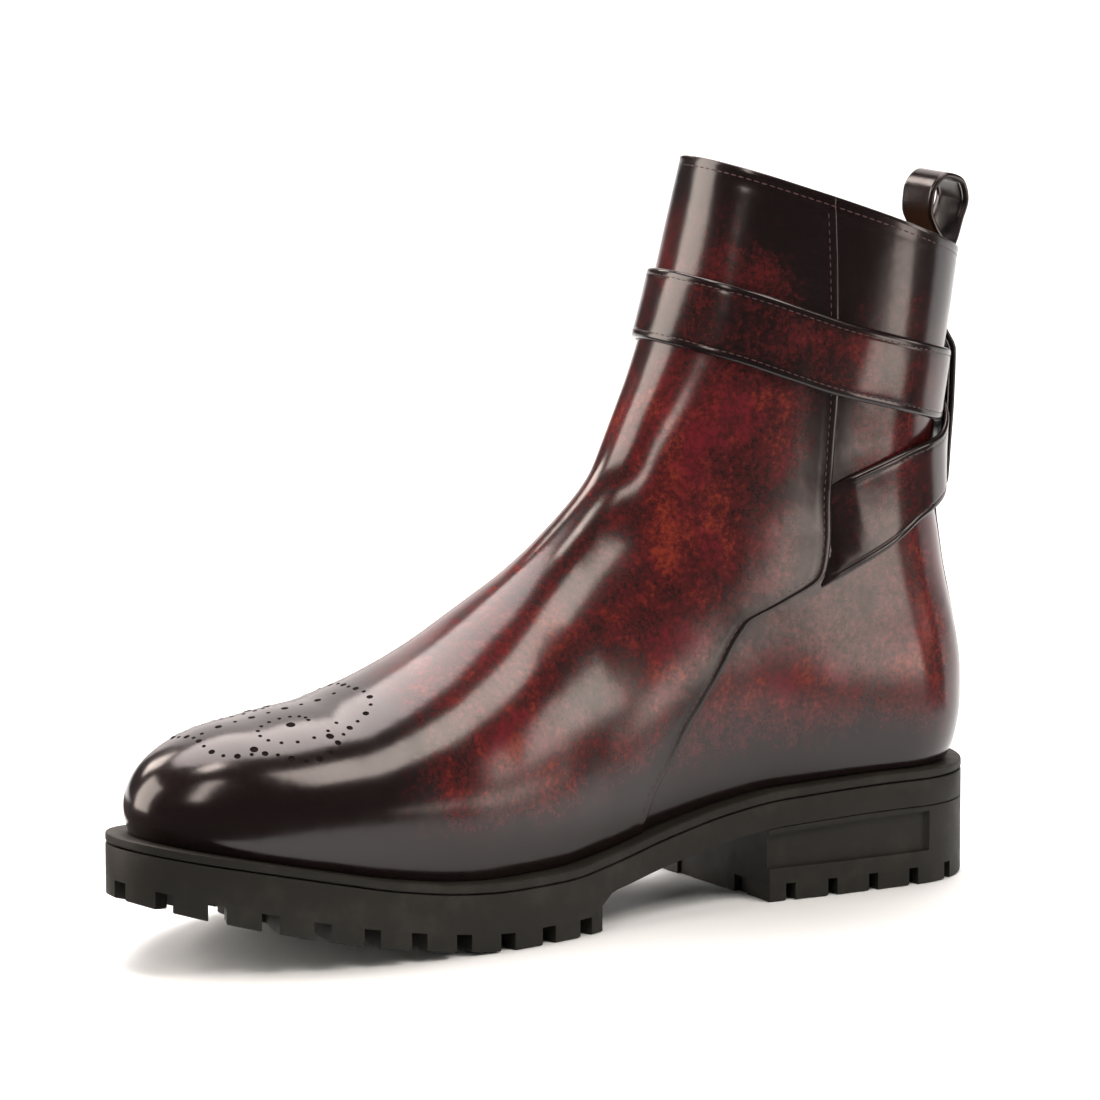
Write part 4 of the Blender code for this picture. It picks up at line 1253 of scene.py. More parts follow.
@dataclass
class Straps:
    """The long wrap strap and the short one that carries the buckle."""

    thick: float = 2.0
    hole_at: float = 254.4
    hole_radius: float = 1.5
    edge_round: float = 0.9
    crease_in: float = 2.35
    crease_column: int = 6
    thinnest: float = 0.55
    stitching: Stitching = field(default_factory=lambda: Stitching(2.4, 1.8, 0.42, 0.3))

    def shape(self, sheet: Sheet, thick: Array, sewn: slice) -> tuple[Shape, Shape]:
        """Closed strap round a sheet, no higher than its room, and the stitches along its edges.

        Its edges are rounded, with a pressed crease inside each, its middle is slightly crowned, and it is
        dark at both edges and at its tip. The stitches lie in the creases, over the sewn rows.
        """
        inside = sheet.inside
        half_thick = thick[:, None] / 2
        rounding = edge_rounding(inside, self.edge_round)
        crease = 0.1 * bump_of(inside - self.crease_in, 0.36)
        crown = 0.12 * (1 - (sheet.places / sheet.half[:, None]) ** 2)
        middle = (sheet.lift + thick / 2)[:, None]
        outer = np.minimum(middle + (half_thick * rounding - crease + crown), sheet.room)
        inner = np.minimum(middle + -half_thick * rounding, outer - self.thinnest)
        ends = np.minimum(sheet.length + 20, sheet.to_go)
        burnish = 1 - (1 - 0.7 * bump_of(inside, 2.2)) * (1 - 0.6 * bump_of(ends, 12)[:, None])
        points, out = sheet.points, sheet.out
        strap = shell(points + out * outer[..., None], points + out * inner[..., None],
                      values={"burnish": burnish})
        face = points + out * (outer - 0.02)[..., None]
        first, second = (self.stitching.row(face[sewn, column], out[sewn, column])
                         for column in (self.crease_column, -1 - self.crease_column))
        return strap, first.joined(second)

    def build_long(self) -> None:
        """From under the flap round the back, over the front and through the buckle to its rounded tip."""

        def before(degrees: Array, rise: Array) -> Array:
            """Past the flap's rear edge, for the sewn end only."""
            return np.where(degrees < -50, degrees - FLAP_EDGE(rise) + 360, FAR)

        sheet = LONG_STRAP.sheet(-90, 301, 420, before, round_tip=True)
        thick = 0.9 + 1.1 * ease((sheet.length - 3) / 14) - 0.5 * ease(1 - sheet.to_go)
        strap, stitches = self.shape(sheet, thick, slice(26, -3))
        make("long_strap_stitches", stitches, Finish.THREAD.material())
        piece = make("long_strap_leather", strap, Finish.STRAP.material())
        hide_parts("long_strap")

    def build_short(self) -> None:
        """From the inner seam round the back to its end under the buckle."""

        def before(degrees: Array, rise: Array) -> Array:
            """Short of the inner seam, for the sewn end only; below its corner the seam counts as upright."""
            seam = MEDIAL_SEAM(rise)
            edge = np.where(rise < 0.515, np.minimum(seam, 75.4), seam)
            return np.where(degrees > 40, edge - degrees, FAR)

        sheet = SHORT_STRAP.sheet(-103.5, 84.5, 300, before)
        at_seam = ease((sheet.length - sheet.length[-1] + 22) / 20)
        thick = 1.5 + 0.5 * ease((sheet.length - 2) / 12) - 0.9 * at_seam
        strap, stitches = self.shape(sheet, thick, slice(4, -36))
        make("short_strap_stitches", stitches, Finish.THREAD.material())
        piece = make("short_strap_leather", strap, Finish.STRAP.material())
        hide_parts("short_strap")

    def build_hole(self) -> None:
        """The strap's free hole, between the prong and the rear bar."""
        degrees = np.array([self.hole_at])
        turn, rise = np.radians(degrees), LONG_STRAP.rise(degrees)
        out = FORM.outward(turn, rise)
        centre = FORM.off(turn, rise, LONG_STRAP.lift(degrees) + self.thick + 0.1)
        # the free hole is a dark button of painted shade on the strap, not cut through it
        make("strap_hole", Punching().holes(centre, out, np.array([self.hole_radius])), Finish.HOLE.material())

    def build(self) -> None:
        """Makes both straps and the free hole."""
        self.build_long()
        self.build_short()
        self.build_hole()


# ---------------------------------------------------------------- the back strip


@dataclass
class BackStrip:
    """Strip up the back that holds the crossed straps and ends over the collar in the pull loop."""

    wide: float = 17.0
    thick: float = 1.8
    edge_round: float = 0.8
    crease_in: float = 2.1
    foot: float = 0.03
    inside_depth: float = 2.5
    inward: tuple[float, ...] = (0, 0.12, 0.4, 0.9, 1.5, 1.9, 2.2, 2.6, 3.2, 4.6, 6.5)
    lift: Curve = Curve((0.03, 0.6, 0.625, 0.672, 0.78, 0.868, 0.9, 0.92, 1),
                        (-0.7, -0.7, -0.3, 4.7, 6.2, 4.8, 0.1, -0.6, -0.7))
    forward: Curve = Curve((0, 1, 2, 3, 4, 5, 6, 7, 8), (-1.8, -3.2, -5.2, -3.2, 2.6, 7.6, 8.2, 6.2, 3.5))
    upward: Curve = Curve((0, 1, 2, 3, 4, 5, 6, 7, 8), (4, 9, 15.5, 21.5, 23.4, 18.5, 12.5, 7.5, 3.6))

    def column(self, rise: Array, side: Array, lift: Array) -> Array:
        """Rows across the strip at each rise on the boot's back, walked out to both sides."""
        turn = np.zeros_like(rise)
        run = unit(np.gradient(FORM.surface(turn, rise), axis=0))
        turn, at = walk_square(turn, rise, run, np.broadcast_to(side, (len(rise), len(side))), 4)
        return FORM.off(turn, np.clip(at, 0, 1), lift[:, None])

    def sheet(self, side: Array) -> Array:
        """Middle sheet of the strip: up the back, over in the loop and down inside the collar.

        The loop's rows go from the outside's last row to the inside's first, flat across the strip halfway.
        """
        rise_out = np.linspace(self.foot, 1, 150)
        outside = self.column(rise_out, side, self.lift(rise_out) + self.thick / 2)
        inside = self.column(np.linspace(1, 0.9, 14), -side, np.full(14, -self.inside_depth - self.thick / 2))
        collar = FORM.surface(np.zeros(1), np.ones(1))[0]
        step = np.linspace(0, 8, 60)
        share = (step + 1) / 10
        middle = len(side) // 2
        first, last = (row - collar - (row - collar)[middle] for row in (outside[-1], inside[0]))
        cross = first * (1 - share)[:, None, None] + last * share[:, None, None]
        cross[..., 1:] *= (1 - np.sin(np.pi * share))[:, None, None]
        loop = collar + np.stack([0 * step, self.forward(step), self.upward(step)], -1)
        return np.concatenate([outside, loop[:, None] + cross, inside])

    def build(self) -> None:
        """The sheet given its thickness along its own normals, with rounded edges and pressed creases."""
        half = self.wide / 2
        side = lines_across(half, self.inward)
        sheet = self.sheet(side)
        out = unit(np.cross(np.gradient(sheet, axis=0), np.gradient(sheet, axis=1)))
        inside = half - np.abs(side)
        rounding = edge_rounding(inside, self.edge_round)
        crease = 0.16 * bump_of(inside - self.crease_in, 0.4)
        outer = sheet - out * (self.thick / 2 * rounding - crease)[None, :, None]
        inner = sheet + out * (self.thick / 2 * rounding)[None, :, None]
        burnish = np.broadcast_to(0.35 + 0.65 * (0.75 * bump_of(inside, 2.4)), sheet.shape[:2])
        shape = shell(outer, inner, values={"burnish": burnish})
        piece = make("back_strip_leather", shape, Finish.STRAP.material())
        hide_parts("back_strip")


# ---------------------------------------------------------------- the buckle


@dataclass
class Buckle:
    """Pale metal frame with a wide bevelled rear bar, a turned centre bar and a prong."""

    turn: float = 249.0
    rise: float = 0.834
    long: float = 27.0
    wide: float = 30.5
    bar: float = 2.0
    corner: float = 1.6
    chamfer: float = 0.45
    rear_bar: Blend = Blend(9.2, 3.5)
    front_bar: Blend = Blend(11, 1.5)
    rod: float = 0.6
    rod_lift: float = 2.2
    rod_short: float = 1.2
    prong_steps: int = 60
    prong_sides: int = 12

    def axes(self) -> tuple[Array, Array]:
        """Middle of the buckle on the upper, and its axes as rows: along the strap, up across it, out."""
        turn, rise = np.array([math.radians(self.turn)]), np.array([self.rise])
        out = FORM.outward(turn, rise)[0]
        ahead = np.array([LONG_STRAP.rise(self.turn - 1)])
        centre = FORM.surface(turn, rise)[0]
        along = FORM.surface(turn - math.radians(1), ahead)[0] - centre
        along = unit(along - out * (along @ out))
        return centre, np.array([along, np.cross(along, out), out])

    def outline(self, count: int = 8) -> Array:
        """Rounded rectangle with count points round each corner."""
        angle = (np.arange(4)[:, None] * 90 + np.linspace(0, 90, count)).ravel() * math.pi / 180
        sign = np.repeat([(1, 1), (-1, 1), (-1, -1), (1, -1)], count, axis=0)
        half = np.array([self.long, self.wide]) / 2
        return sign * (half - self.corner) + self.corner * np.stack([np.cos(angle), np.sin(angle)], -1)

    def build_frame(self) -> None:
        """Frame: an eight-sided section carried round a rounded rectangle, higher over its rear bar."""
        outline = self.outline()
        rear, front = self.rear_bar(-outline[:, 0]), self.front_bar(outline[:, 0])
        low = 2.0 + 2.95 * rear + 1.7 * front
        high = 6.2 + 0.85 * rear
        width = np.column_stack([self.bar + 2.2 * rear, np.full_like(rear, self.bar)])
        half = np.array([self.long, self.wide]) / 2
        inner = np.sign(outline) * np.minimum(np.abs(outline), half - width)
        toward = unit(inner - outline + 1e-9)
        cut = np.minimum(self.chamfer, np.linalg.norm(inner - outline, axis=1) / 3)[:, None] * toward
        section = [(outline, low + self.chamfer), (outline, high - self.chamfer), (outline + cut, high),
                   (inner - cut, high), (inner, high - self.chamfer), (inner, low + self.chamfer),
                   (inner - cut, low), (outline + cut, low)]
        grid = np.stack([np.column_stack([flat, height]) for flat, height in section], 1)
        centre, axes = self.axes()
        rows, columns = grid.shape[:2]
        closed = np.concatenate([grid, grid[:1]])
        frame = Shape(centre + closed.reshape(-1, 3) @ axes, [grid_quads(rows + 1, columns, wrap=True)])
        shape = frame.joined(self.turned_bar(centre, axes))
        piece = make("buckle_frame_metal", shape, Finish.METAL.material(), 28)
        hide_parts("buckle_frame")

    def turned_bar(self, centre: Array, axes: Array) -> Shape:
        """Centre bar: a round rod from side to side."""
        points, faces = round_bead(16, (0.12, 0.3, 0.5, 0.7, 0.88))
        points[:, 1:] /= np.maximum(np.linalg.norm(points[:, 1:], axis=1, keepdims=True), 0.4)
        along, across, out = axes
        size = np.array([[across * (self.wide / 2 - self.rod_short), along * self.rod, out * self.rod]])
        return scatter((centre + out * self.rod_lift)[None], size, points, faces)

    def build_prong(self) -> None:
        """Prong: a tapering round rod hooked behind the centre bar and bent up over the front bar."""
        way = Curve((0, 1, 2, 3, 4, 5, 6, 7, 8, 9), (-1.55, -1.6, -1.0, 0.3, 2.0, 4.6, 7.5, 10.5, 12.5, 15.0))
        out = Curve((0, 1, 2, 3, 4, 5, 6, 7, 8, 9), (1.5, 2.7, 3.5, 3.65, 3.75, 4.95, 6.2, 6.95, 7.0, 6.95))
        step = np.linspace(0, 9, self.prong_steps)
        run = np.column_stack([way(step), out(step)])
        tangent = unit(np.gradient(run, axis=0))
        turn = np.arange(self.prong_sides) * 2 * math.pi / self.prong_sides
        tip = np.sqrt(np.clip(1 - np.clip((step - 8.4) / 0.62, 0, 1) ** 2, 0.02, 1))
        side = np.cos(turn) * (np.linspace(0.9, 0.65, self.prong_steps) * tip)[:, None]
        tall = np.sin(turn) * (0.52 * tip)[:, None]
        local = np.stack([run[:, :1] - tangent[:, 1:] * tall, side, run[:, 1:] + tangent[:, :1] * tall], -1)
        centre, axes = self.axes()
        shape = stack(centre + local @ axes)
        piece = make("buckle_prong_metal", shape, Finish.METAL.material(), 50)
        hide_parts("buckle_prong")

    def build(self) -> None:
        """Makes frame and prong."""
        self.build_frame()
        self.build_prong()


# ---------------------------------------------------------------- the sole


@dataclass
class EdgeWalk:
    """The sole's edge between two turns round it, walked by length."""

    start: float
    end: float
    steps: int = 4000
    path: Array = field(init=False)
    length: Array = field(init=False)

    def __post_init__(self) -> None:
        """Keeps the edge's points and the length walked at each."""
        turn = np.linspace(self.start, self.end, self.steps)
        l = FORM.sole_length * (1 - np.cos(turn)) / 2
        middle, half = FORM.sole_edge(l)
        self.path = np.stack([middle + np.where(np.sin(turn) >= 0, 1, -1) * half, l], -1)
        self.length = walked(self.path)

    def place(self, at: Array) -> Array:
        """Point of the edge after walking at mm."""
        at = np.clip(at, 0, self.length[-1])
        return np.stack([np.interp(at, self.length, self.path[:, k]) for k in (0, 1)], -1)

    def inward(self, at: Array) -> Array:
        """Level unit vector into the sole at that point."""
        at = np.clip(at, 1, self.length[-1] - 1)
        ahead = self.place(at + 1) - self.place(at - 1)
        return unit(np.stack([-ahead[..., 1], ahead[..., 0]], -1))

    def grooves(self, spacing: float) -> Array:
        """Places of the grooves, evenly spaced by about so many mm."""
        count = int(self.length[-1] // spacing)
        return (np.arange(count) + 0.5) * self.length[-1] / count


@dataclass
class Sole:
    """Welt and midsole, outsole with lugs, heel block and insole."""

    half_count: int = 170
    lug_wide: float = 10.0
    groove_wide: float = 5.4
    groove_long: float = 26.0
    narrowest: float = 1.8
    neck: float = 0.62
    pinch: float = 1.1
    lug_chamfer: float = 0.4
    rim_rows: int = 110
    outsole_rim: float = 3.4
    heel_rim: float = 6.5
    heel_lugs: tuple[float, float] = (11.5, 3.4)
    heel_lug_long: float = 23.0
    heel_band: float = 10.5
    heel_slot: float = 1.6
    heel_notch: float = 3.4
    slot_start: Blend = Blend(27, 1.2)
    notch_start: Blend = Blend(23.4, 0.8)
    notch_end: Blend = Blend(29.4, -0.8)
    ramp: float = 11.0
    stud_rows: int = 8
    stud_aside: float = 8.5
    insole_thick: float = 2.6

    def outline(self, start: float, end: float, inset: float) -> tuple[Array, int]:
        """Outline as a ring of (x, l): up the inner side from start to end and back down the outer side."""
        angle = np.linspace(0, math.pi, self.half_count)
        l = start + (end - start) * (1 - np.cos(angle)) / 2
        low, high = max(start, inset), min(end, FORM.sole_length - inset)
        l = low + (l - start) * (high - low) / (end - start)
        middle, half = FORM.sole_edge(l, inset)
        half = np.maximum(half, 0.02)
        right = np.stack([middle + half, l], -1)
        left = np.stack([middle - half, l], -1)[::-1]
        return np.concatenate([right, left]), len(right)

    def cut_in(self, ring: Array, deep: float) -> Array:
        """The ring drawn in by deep along the heel's front part, with a notch behind it on the outer side."""
        x, l = ring.T
        side = np.sign(x - FORM.plan_middle(l))
        window = self.slot_start(l)
        notch = self.notch_start(l) * self.notch_end(l) * (side < 0)
        return np.column_stack([x - side * (deep * window + self.heel_notch * notch * (deep > 0)), l])

    def slab(self, start: float, end: float, rows: Sequence[tuple[float, Callable[[Array], Array]]]) -> Shape:
        """Closed slab of the sole.

        Args:
            start: its rear end along the sole.
            end: its front end.
            rows: (inset, height of l) from the upper face's rim to the lower face's rim, and a third number on
                the rows where the heel's sides are cut in by so many mm.

        Returns:
            Rings joined by a wall, with a ladder of quads from side to side over each face.
        """
        rings = []
        for inset, height, *deep in rows:
            ring, count = self.outline(start, end, inset)
            if deep:
                ring = self.cut_in(ring, deep[0])
            rings.append(np.column_stack([ring, height(ring[:, 1])]))
        total = 2 * count
        faces = [grid_quads(len(rings), total, wrap=True)]
        i = np.arange(count - 1)
        ladder = np.stack([i, i + 1, total - 2 - i, total - 1 - i], -1)
        faces += [ladder[:, ::-1], ladder + (len(rings) - 1) * total]
        return Shape(np.concatenate(rings), faces)

    def build_midsole(self) -> None:
        """Welt and midsole: a rounded upper lip and a fine groove over the outsole."""
        top, thick = FORM.top_of_sole, FORM.midsole_thick
        rows = [(9, top), (1.3, top), (0.5, lambda l: top(l) - 0.12), (0.1, lambda l: top(l) - 0.45),
                (0, lambda l: top(l) - 1), (0, lambda l: top(l) - thick + 0.5),
                (0.35, lambda l: top(l) - thick + 0.1), (0.8, lambda l: top(l) - thick),
                (9, lambda l: top(l) - thick)]
        shape = self.slab(0, FORM.sole_length, rows)
        piece = make("welt_and_midsole", shape, Finish.RUBBER.material(), 35)
        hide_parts("midsole")

    def floor_of(self, l: Array) -> Array:
        """Underside between the lugs: thin over the heel and waist, then a ramp down to the lugs' roots."""
        waist = FORM.outsole_top(l) - FORM.waist_thick
        roots = FORM.tread(l) + FORM.lug_deep
        share = ease((l - FORM.forepart_start + self.ramp) / self.ramp)
        return waist * (1 - share) + np.minimum(waist, roots) * share

    def lugs(self, start: float, end: float, deep_in: float, low: Callable[[Array], Array],
             high: Callable[[Array], Array], sizes: tuple[float, float]) -> Shape:
        """Lugs along the sole's edge between two turns, each its own closed block.

        A lug's plan has its outer side on the sole's edge, two sides along its neighbouring grooves, and a
        step where it narrows towards its inner end. It goes down from high to low with a small chamfer.

        Args:
            start: first turn of the walk along the edge.
            end: last turn.
            deep_in: how far the lugs reach in from the edge. A lug between closing grooves stops sooner, at
                (its width at the edge - the narrowest width) / (how much its two sides close in for each mm).
            low: height of their lower faces.
            high: height of their roots.
            sizes: widths of a lug and of a groove.

        Returns:
            All the lugs as one mesh.
        """
        walk = EdgeWalk(start, end)
        half_groove = sizes[1] / 2
        bounds = np.concatenate([[-half_groove], walk.grooves(sum(sizes)), [walk.length[-1] + half_groove]])
        lugs = []
        for first, second in zip(bounds[:-1], bounds[1:]):
            outer = walk.place(np.linspace(first + half_groove, second - half_groove, 7))
            way_first, way_second = walk.inward(first), walk.inward(second)
            begin, finish = outer[0], outer[-1]
            closing = max(np.linalg.norm(way_second - way_first), 0.01)
            reach = min(deep_in, (np.linalg.norm(finish - begin) - self.narrowest) / closing)
            step_first = begin + way_first * (reach * self.neck)
            step_second = finish + way_second * (reach * self.neck)
            across = finish + way_second * reach - begin - way_first * reach
            wide = np.linalg.norm(across)
            lean = across / max(wide, 0.1) * min(self.pinch, wide * 0.2)
            inner = np.array([finish + way_second * reach - lean, begin + way_first * reach + lean])
            plan = np.concatenate([outer, [step_second, step_second - lean], inner,
                                   [step_first + lean, step_first]])
            middle = plan.mean(0)
            from_middle = np.linalg.norm(plan - middle, axis=1, keepdims=True)
            small = middle + (plan - middle) * (1 - 0.5 / np.maximum(from_middle, 3))
            lugs.append(block(plan, small, high, low, self.lug_chamfer))
        return reduce(Shape.joined, lugs)

    def rim(self, start: float, end: float, thick: float, low: Callable[[Array], Array],
            high: Callable[[Array], Array]) -> Shape:
        """Wall that closes the grooves along the outer edge from l = start to end, just inside the lugs."""
        l = np.linspace(start, end, self.rim_rows)
        lines = []
        for inset, height in ((0.05, high), (0.05, low), (thick, low), (thick, high)):
            middle, half = FORM.sole_edge(l, inset)
            lift = 0.04 if height is low else 0.2
            lines.append(np.column_stack([middle - half, l, height(l) + lift]))
        return stack(np.stack(lines, 1))

    def studs(self) -> Shape:
        """H-shaped studs in two columns under the middle of the forepart."""
        quarter = np.array([(5.4, 5.6), (1.6, 5.6), (1.6, 1.5)])
        plan = np.concatenate([sign * quarter[::way] for sign, way in (
            ((-1, -1), 1), ((1, -1), -1), ((1, 1), 1), ((-1, 1), -1))])

        def root(l: Array) -> Array:
            """A little inside the outsole's body."""
            return FORM.tread(l) + FORM.lug_deep + 0.4

        studs = []
        for row, l in enumerate(np.linspace(FORM.forepart_start + 22, FORM.sole_length - 43, self.stud_rows)):
            aside = self.stud_aside if row % 2 else -self.stud_aside
            place = np.array([float(FORM.plan_middle(l)) + aside, l])
            studs.append(block(plan + place, plan * 0.93 + place, root, FORM.tread, 0.5))
        return reduce(Shape.joined, studs)

    def build_outsole(self) -> None:
        """Body of the outsole with its lugs and studs."""
        top = FORM.outsole_top
        rows = [(8, top), (0.6, top), (0.15, lambda l: top(l) - 0.2), (0, lambda l: top(l) - 0.6),
                (0, self.floor_of), (0.01, self.floor_of)]
        body = self.slab(0, FORM.sole_length, rows)
        back_turn = math.acos(1 - 2 * (FORM.forepart_start - 5) / FORM.sole_length)
        lugs = self.lugs(back_turn, 2 * math.pi - back_turn, self.groove_long, FORM.tread, self.floor_of,
                         (self.lug_wide, self.groove_wide))
        rim = self.rim(FORM.forepart_start - 3, 284, self.outsole_rim, FORM.tread, self.floor_of)
        whole = reduce(Shape.joined, (body, lugs, self.studs(), rim))
        piece = make("lugged_outsole", whole, Finish.RUBBER.material(), 25)
        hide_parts("outsole")

    def build_heel(self) -> None:
        """Heel block: smooth upper band, a slot along each side, and lugs below."""
        end, band, slot = FORM.heel_length, self.heel_band, self.heel_slot

        def top(l: Array) -> Array:
            """Upper face under the outsole."""
            return FORM.outsole_top(l) - FORM.waist_thick - FORM.gap

        def level(z: float) -> Callable[[Array], Array]:
            """The same height all along the heel."""
            return lambda l: 0 * l + z

        root, ground = level(FORM.lug_deep), level(0)
        rows = [(6, top), (0.3, top), (0, lambda l: top(l) - 0.3), (0, lambda l: top(l) - slot),
                (0, lambda l: top(l) - slot - 0.15, slot), (0, level(band + 0.15), slot), (0, level(band)),
                (0, root), (0.01, root)]
        body = self.slab(0, end, rows)
        turn = math.acos(1 - 2 * end / FORM.sole_length)
        lugs = self.lugs(-turn, turn, self.heel_lug_long, ground, root, self.heel_lugs)
        core = self.slab(0, end - 0.4, [(21.5, root), (21.5, level(0.3)), (21.8, ground)])
        rim = self.rim(10, end - 0.2, self.heel_rim, ground, root)
        body = reduce(Shape.joined, (body, lugs, core, rim))
        piece = make("heel_block", body, Finish.RUBBER.material(), 25)
        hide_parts("heel")

    def build_insole(self) -> None:
        """Insole inside the feather line, flat on top with a softened edge."""
        turn = np.linspace(0, 2 * math.pi, 181)[:-1]
        inset = FORM.tuck + 2.2 + 0.6
        ring = FORM.last(turn, np.zeros_like(turn))[:, :2] - FORM.feather_outward(turn) * inset
        middle = np.stack([FORM.plan_middle(ring[:, 1]), np.clip(ring[:, 1], 30, 265)], -1)
        thick, count = self.insole_thick, len(ring)
        rings = []
        for share, height in ((0.0, 0.0), (0.0, thick - 0.6), (0.012, thick), (0.06, thick)):
            flat = ring + (middle - ring) * share
            rings.append(np.column_stack([flat, FORM.feather(flat[:, 1]) + height]))
        i = np.arange(1, count // 2 - 1)
        ladder = np.stack([i, i + 1, count - i - 1, count - i], -1)
        ends = np.array([(0, 1, count - 1), (count // 2, count // 2 + 1, count // 2 - 1)])
        final = (len(rings) - 1) * count
        faces = [grid_quads(len(rings), count, wrap=True), ladder[:, ::-1], ends[:, ::-1], ladder + final,
                 ends + final]
        piece = make("insole_leather", Shape(np.concatenate(rings), faces), Finish.INSOLE.material(), 35)
        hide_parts("insole")

    def build(self) -> None:
        """Makes every piece of the sole."""
        self.build_midsole()
        self.build_outsole()
        self.build_heel()
        self.build_insole()


# ---------------------------------------------------------------- floor, light and camera


def aim(holder: bpy.types.Object, place: Vector, target: Vector) -> None:
    """Puts a camera or light at a place and turns it to a target."""
    holder.location = place
    holder.rotation_mode = "QUATERNION"
    holder.rotation_quaternion = (target - place).to_track_quat("-Z", "Y")


@dataclass(frozen=True)
class SoftBox:
    """Rectangular area light: its place in metres, its two sizes, its power and its colour."""

    name: str
    place: Vector3
    size: tuple[float, float]
    power: float
    colour: Vector3 = (1.0, 0.86, 0.78)

    def build(self, target: Vector3) -> None:
        """Makes the light, out of the camera's sight and turned to the target."""
        light = bpy.data.lights.new(self.name, "AREA")
        light.shape = "RECTANGLE"
        light.size, light.size_y = self.size
        light.energy = self.power
        light.color = self.colour
        holder = placed(self.name, light)
        holder.visible_camera = False
        aim(holder, Vector(self.place), Vector(target))


SOFT_BOXES = (
    SoftBox("toe_strip", (-0.88, -1.3, 0.58), (0.95, 1.2), 30),
    SoftBox("toe_spot", (-0.06, -0.55, 1.45), (0.25, 0.25), 4),
    SoftBox("outer_spot", (-1.3, -0.35, 0.85), (0.35, 0.5), 5),
    SoftBox("inner_top", (1.0, 0.3, 1.4), (0.85, 0.8), 22),
    SoftBox("ankle_strip", (0.71, -1.14, 1.15), (0.26, 0.9), 8),
    SoftBox("low_back", (0.85, 1.05, 0.28), (0.5, 0.35), 4),
    SoftBox("backdrop", (-2.5, 1.75, 1.32), (3.0, 2.3), 34, (1.0, 0.9, 0.87)),
)


@dataclass(frozen=True)
class Card:
    """Card lying just over the floor that only reflections meet.

    Its sector is its first and last angle round the boot in degrees from the inner side, and its reach is its
    inner and outer radius in metres. It lies at its height in metres, and a glow of 0 makes it dark.
    """

    name: str
    sector: tuple[float, float]
    reach: tuple[float, float]
    height: float
    glow: float
    steps: int = 60

    def build(self) -> None:
        """Makes the card as a strip of quads."""
        angle = np.radians(np.linspace(*self.sector, self.steps))
        rim = np.stack([np.cos(angle), np.sin(angle)], -1)
        level = np.full(self.steps, self.height)
        points = np.concatenate([np.column_stack([radius * rim, level]) for radius in self.reach])
        mesh = bpy.data.meshes.new(self.name)
        near = np.arange(self.steps)
        mesh.from_pydata(points.tolist(), [], band_between(near, near + self.steps).tolist())
        graph = Graph(self.name)
        graph.shader.inputs["Emission Strength"].default_value = self.glow
        mesh.materials.append(graph.finish(Base_Color=(0.01, 0.01, 0.01), Roughness=1.0,
                                           Emission_Color=(1.0, 0.84, 0.76)))
        card = placed(self.name, mesh)
        card.visible_camera = card.visible_diffuse = card.visible_shadow = False


CARDS = (
    Card("dark_card", (205, 435), (0.28, 9.0), 0.002, 0.0),
    Card("pale_card", (22, 43), (0.42, 1.9), 0.004, 6.6),
)


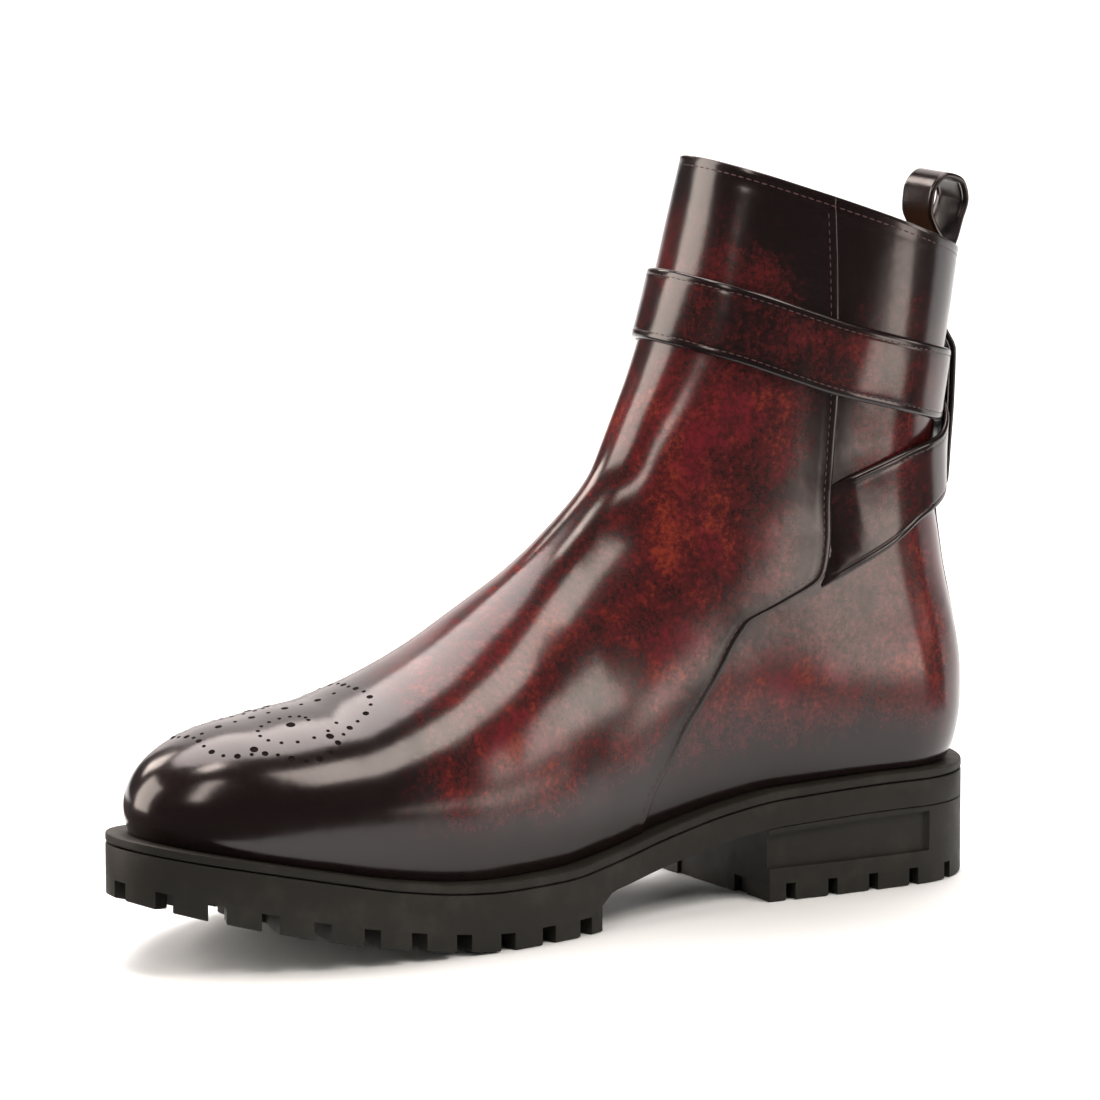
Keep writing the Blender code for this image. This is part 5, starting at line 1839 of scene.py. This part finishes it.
@dataclass
class Studio:
    """Pale floor, soft lights and the camera.

    The camera stands at its distance from the sole's rearmost point, turned by the azimuth from straight ahead
    towards the inner side and raised by the elevation, both in degrees, and is then moved right and up. Its
    lengths are in mm, and those of the floor and the lights are in metres.
    """

    azimuth: float = 55.0
    elevation: float = 7.5
    distance: float = 2400.0
    shift_right: float = -2.28
    shift_up: float = 176.6
    target: Vector3 = (0.0, 147.0, 112.0)
    frame_wide: float = 352.0
    sensor: float = 36.0
    see_to: float = 100.0
    lit_middle: Vector3 = (0.0, -0.1, 0.1)
    floor_half: float = 14.0
    sun_power: float = 3.8
    sun_colour: Vector3 = (1.0, 0.88, 0.85)
    sun_spread: float = 46.0
    sun_way: Vector3 = (0.4, -0.15, -0.9)
    surround: float = 0.07

    def camera_axes(self) -> tuple[Array, Array, Array]:
        """Right, up and backward unit vectors of the view, in boot coordinates."""
        a, e = math.radians(self.azimuth), math.radians(self.elevation)
        right = np.array([math.cos(a), -math.sin(a), 0])
        up = np.array([-math.sin(a) * math.sin(e), -math.cos(a) * math.sin(e), math.cos(e)])
        back = np.array([math.sin(a) * math.cos(e), math.cos(a) * math.cos(e), math.sin(e)])
        return right, up, back

    def build_camera(self) -> None:
        """Camera turned to the boot's middle, with a lens that shows frame_wide mm at the boot's distance."""
        right, up, back = self.camera_axes()
        place = right * self.shift_right + up * self.shift_up + back * self.distance
        camera = bpy.data.cameras.new("camera")
        holder = placed("camera", camera)
        bpy.context.scene.camera = holder
        aim(holder, Vector(to_world(place)), Vector(to_world(self.target)))
        camera.sensor_width = self.sensor
        camera.lens = self.sensor * self.distance / self.frame_wide
        camera.clip_end = self.see_to

    def build_floor(self) -> None:
        """Wide plain floor just under the soles."""
        size = self.floor_half
        mesh = bpy.data.meshes.new("floor")
        corners = [(-size, -size, FLOOR), (size, -size, FLOOR), (size, size, FLOOR), (-size, size, FLOOR)]
        mesh.from_pydata(corners, [], [(0, 1, 2, 3)])
        graph = Graph("studio_floor")
        mesh.materials.append(graph.finish(Base_Color=(0.82, 0.9, 0.93), Roughness=0.6))
        floor = placed("floor", mesh)

    def build_lights(self) -> None:
        """The soft boxes, a wide soft sun from above and a faint surround."""
        for box in SOFT_BOXES:
            box.build(self.lit_middle)
        sun = bpy.data.lights.new("sky", "SUN")
        sun.energy = self.sun_power
        sun.color = self.sun_colour
        sun.angle = math.radians(self.sun_spread)
        aim(placed("sky", sun), Vector(), Vector(self.sun_way))
        world = bpy.data.worlds.new("surround")
        world.use_nodes = True
        background = world.node_tree.nodes["Background"]
        background.inputs["Color"].default_value = (1, 1, 1, 1)
        background.inputs["Strength"].default_value = self.surround
        bpy.context.scene.world = world

    def build(self) -> None:
        """Sets the stage."""
        bpy.context.scene.view_settings.view_transform = "Standard"
        self.build_floor()
        for card in CARDS:
            card.build()
        self.build_lights()
        self.build_camera()


def main() -> None:
    """Loads the frame, builds the boot's pieces in order, sets the stage and notes the sizes."""
    logging.basicConfig(level=logging.INFO, format="%(name)s: %(message)s")
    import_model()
    for part in (Upper(), Straps(), BackStrip(), Buckle(), Sole(), Studio()):
        part.build()
        log.info("%s built", type(part).__name__)


if __name__ == "__main__":
    main()
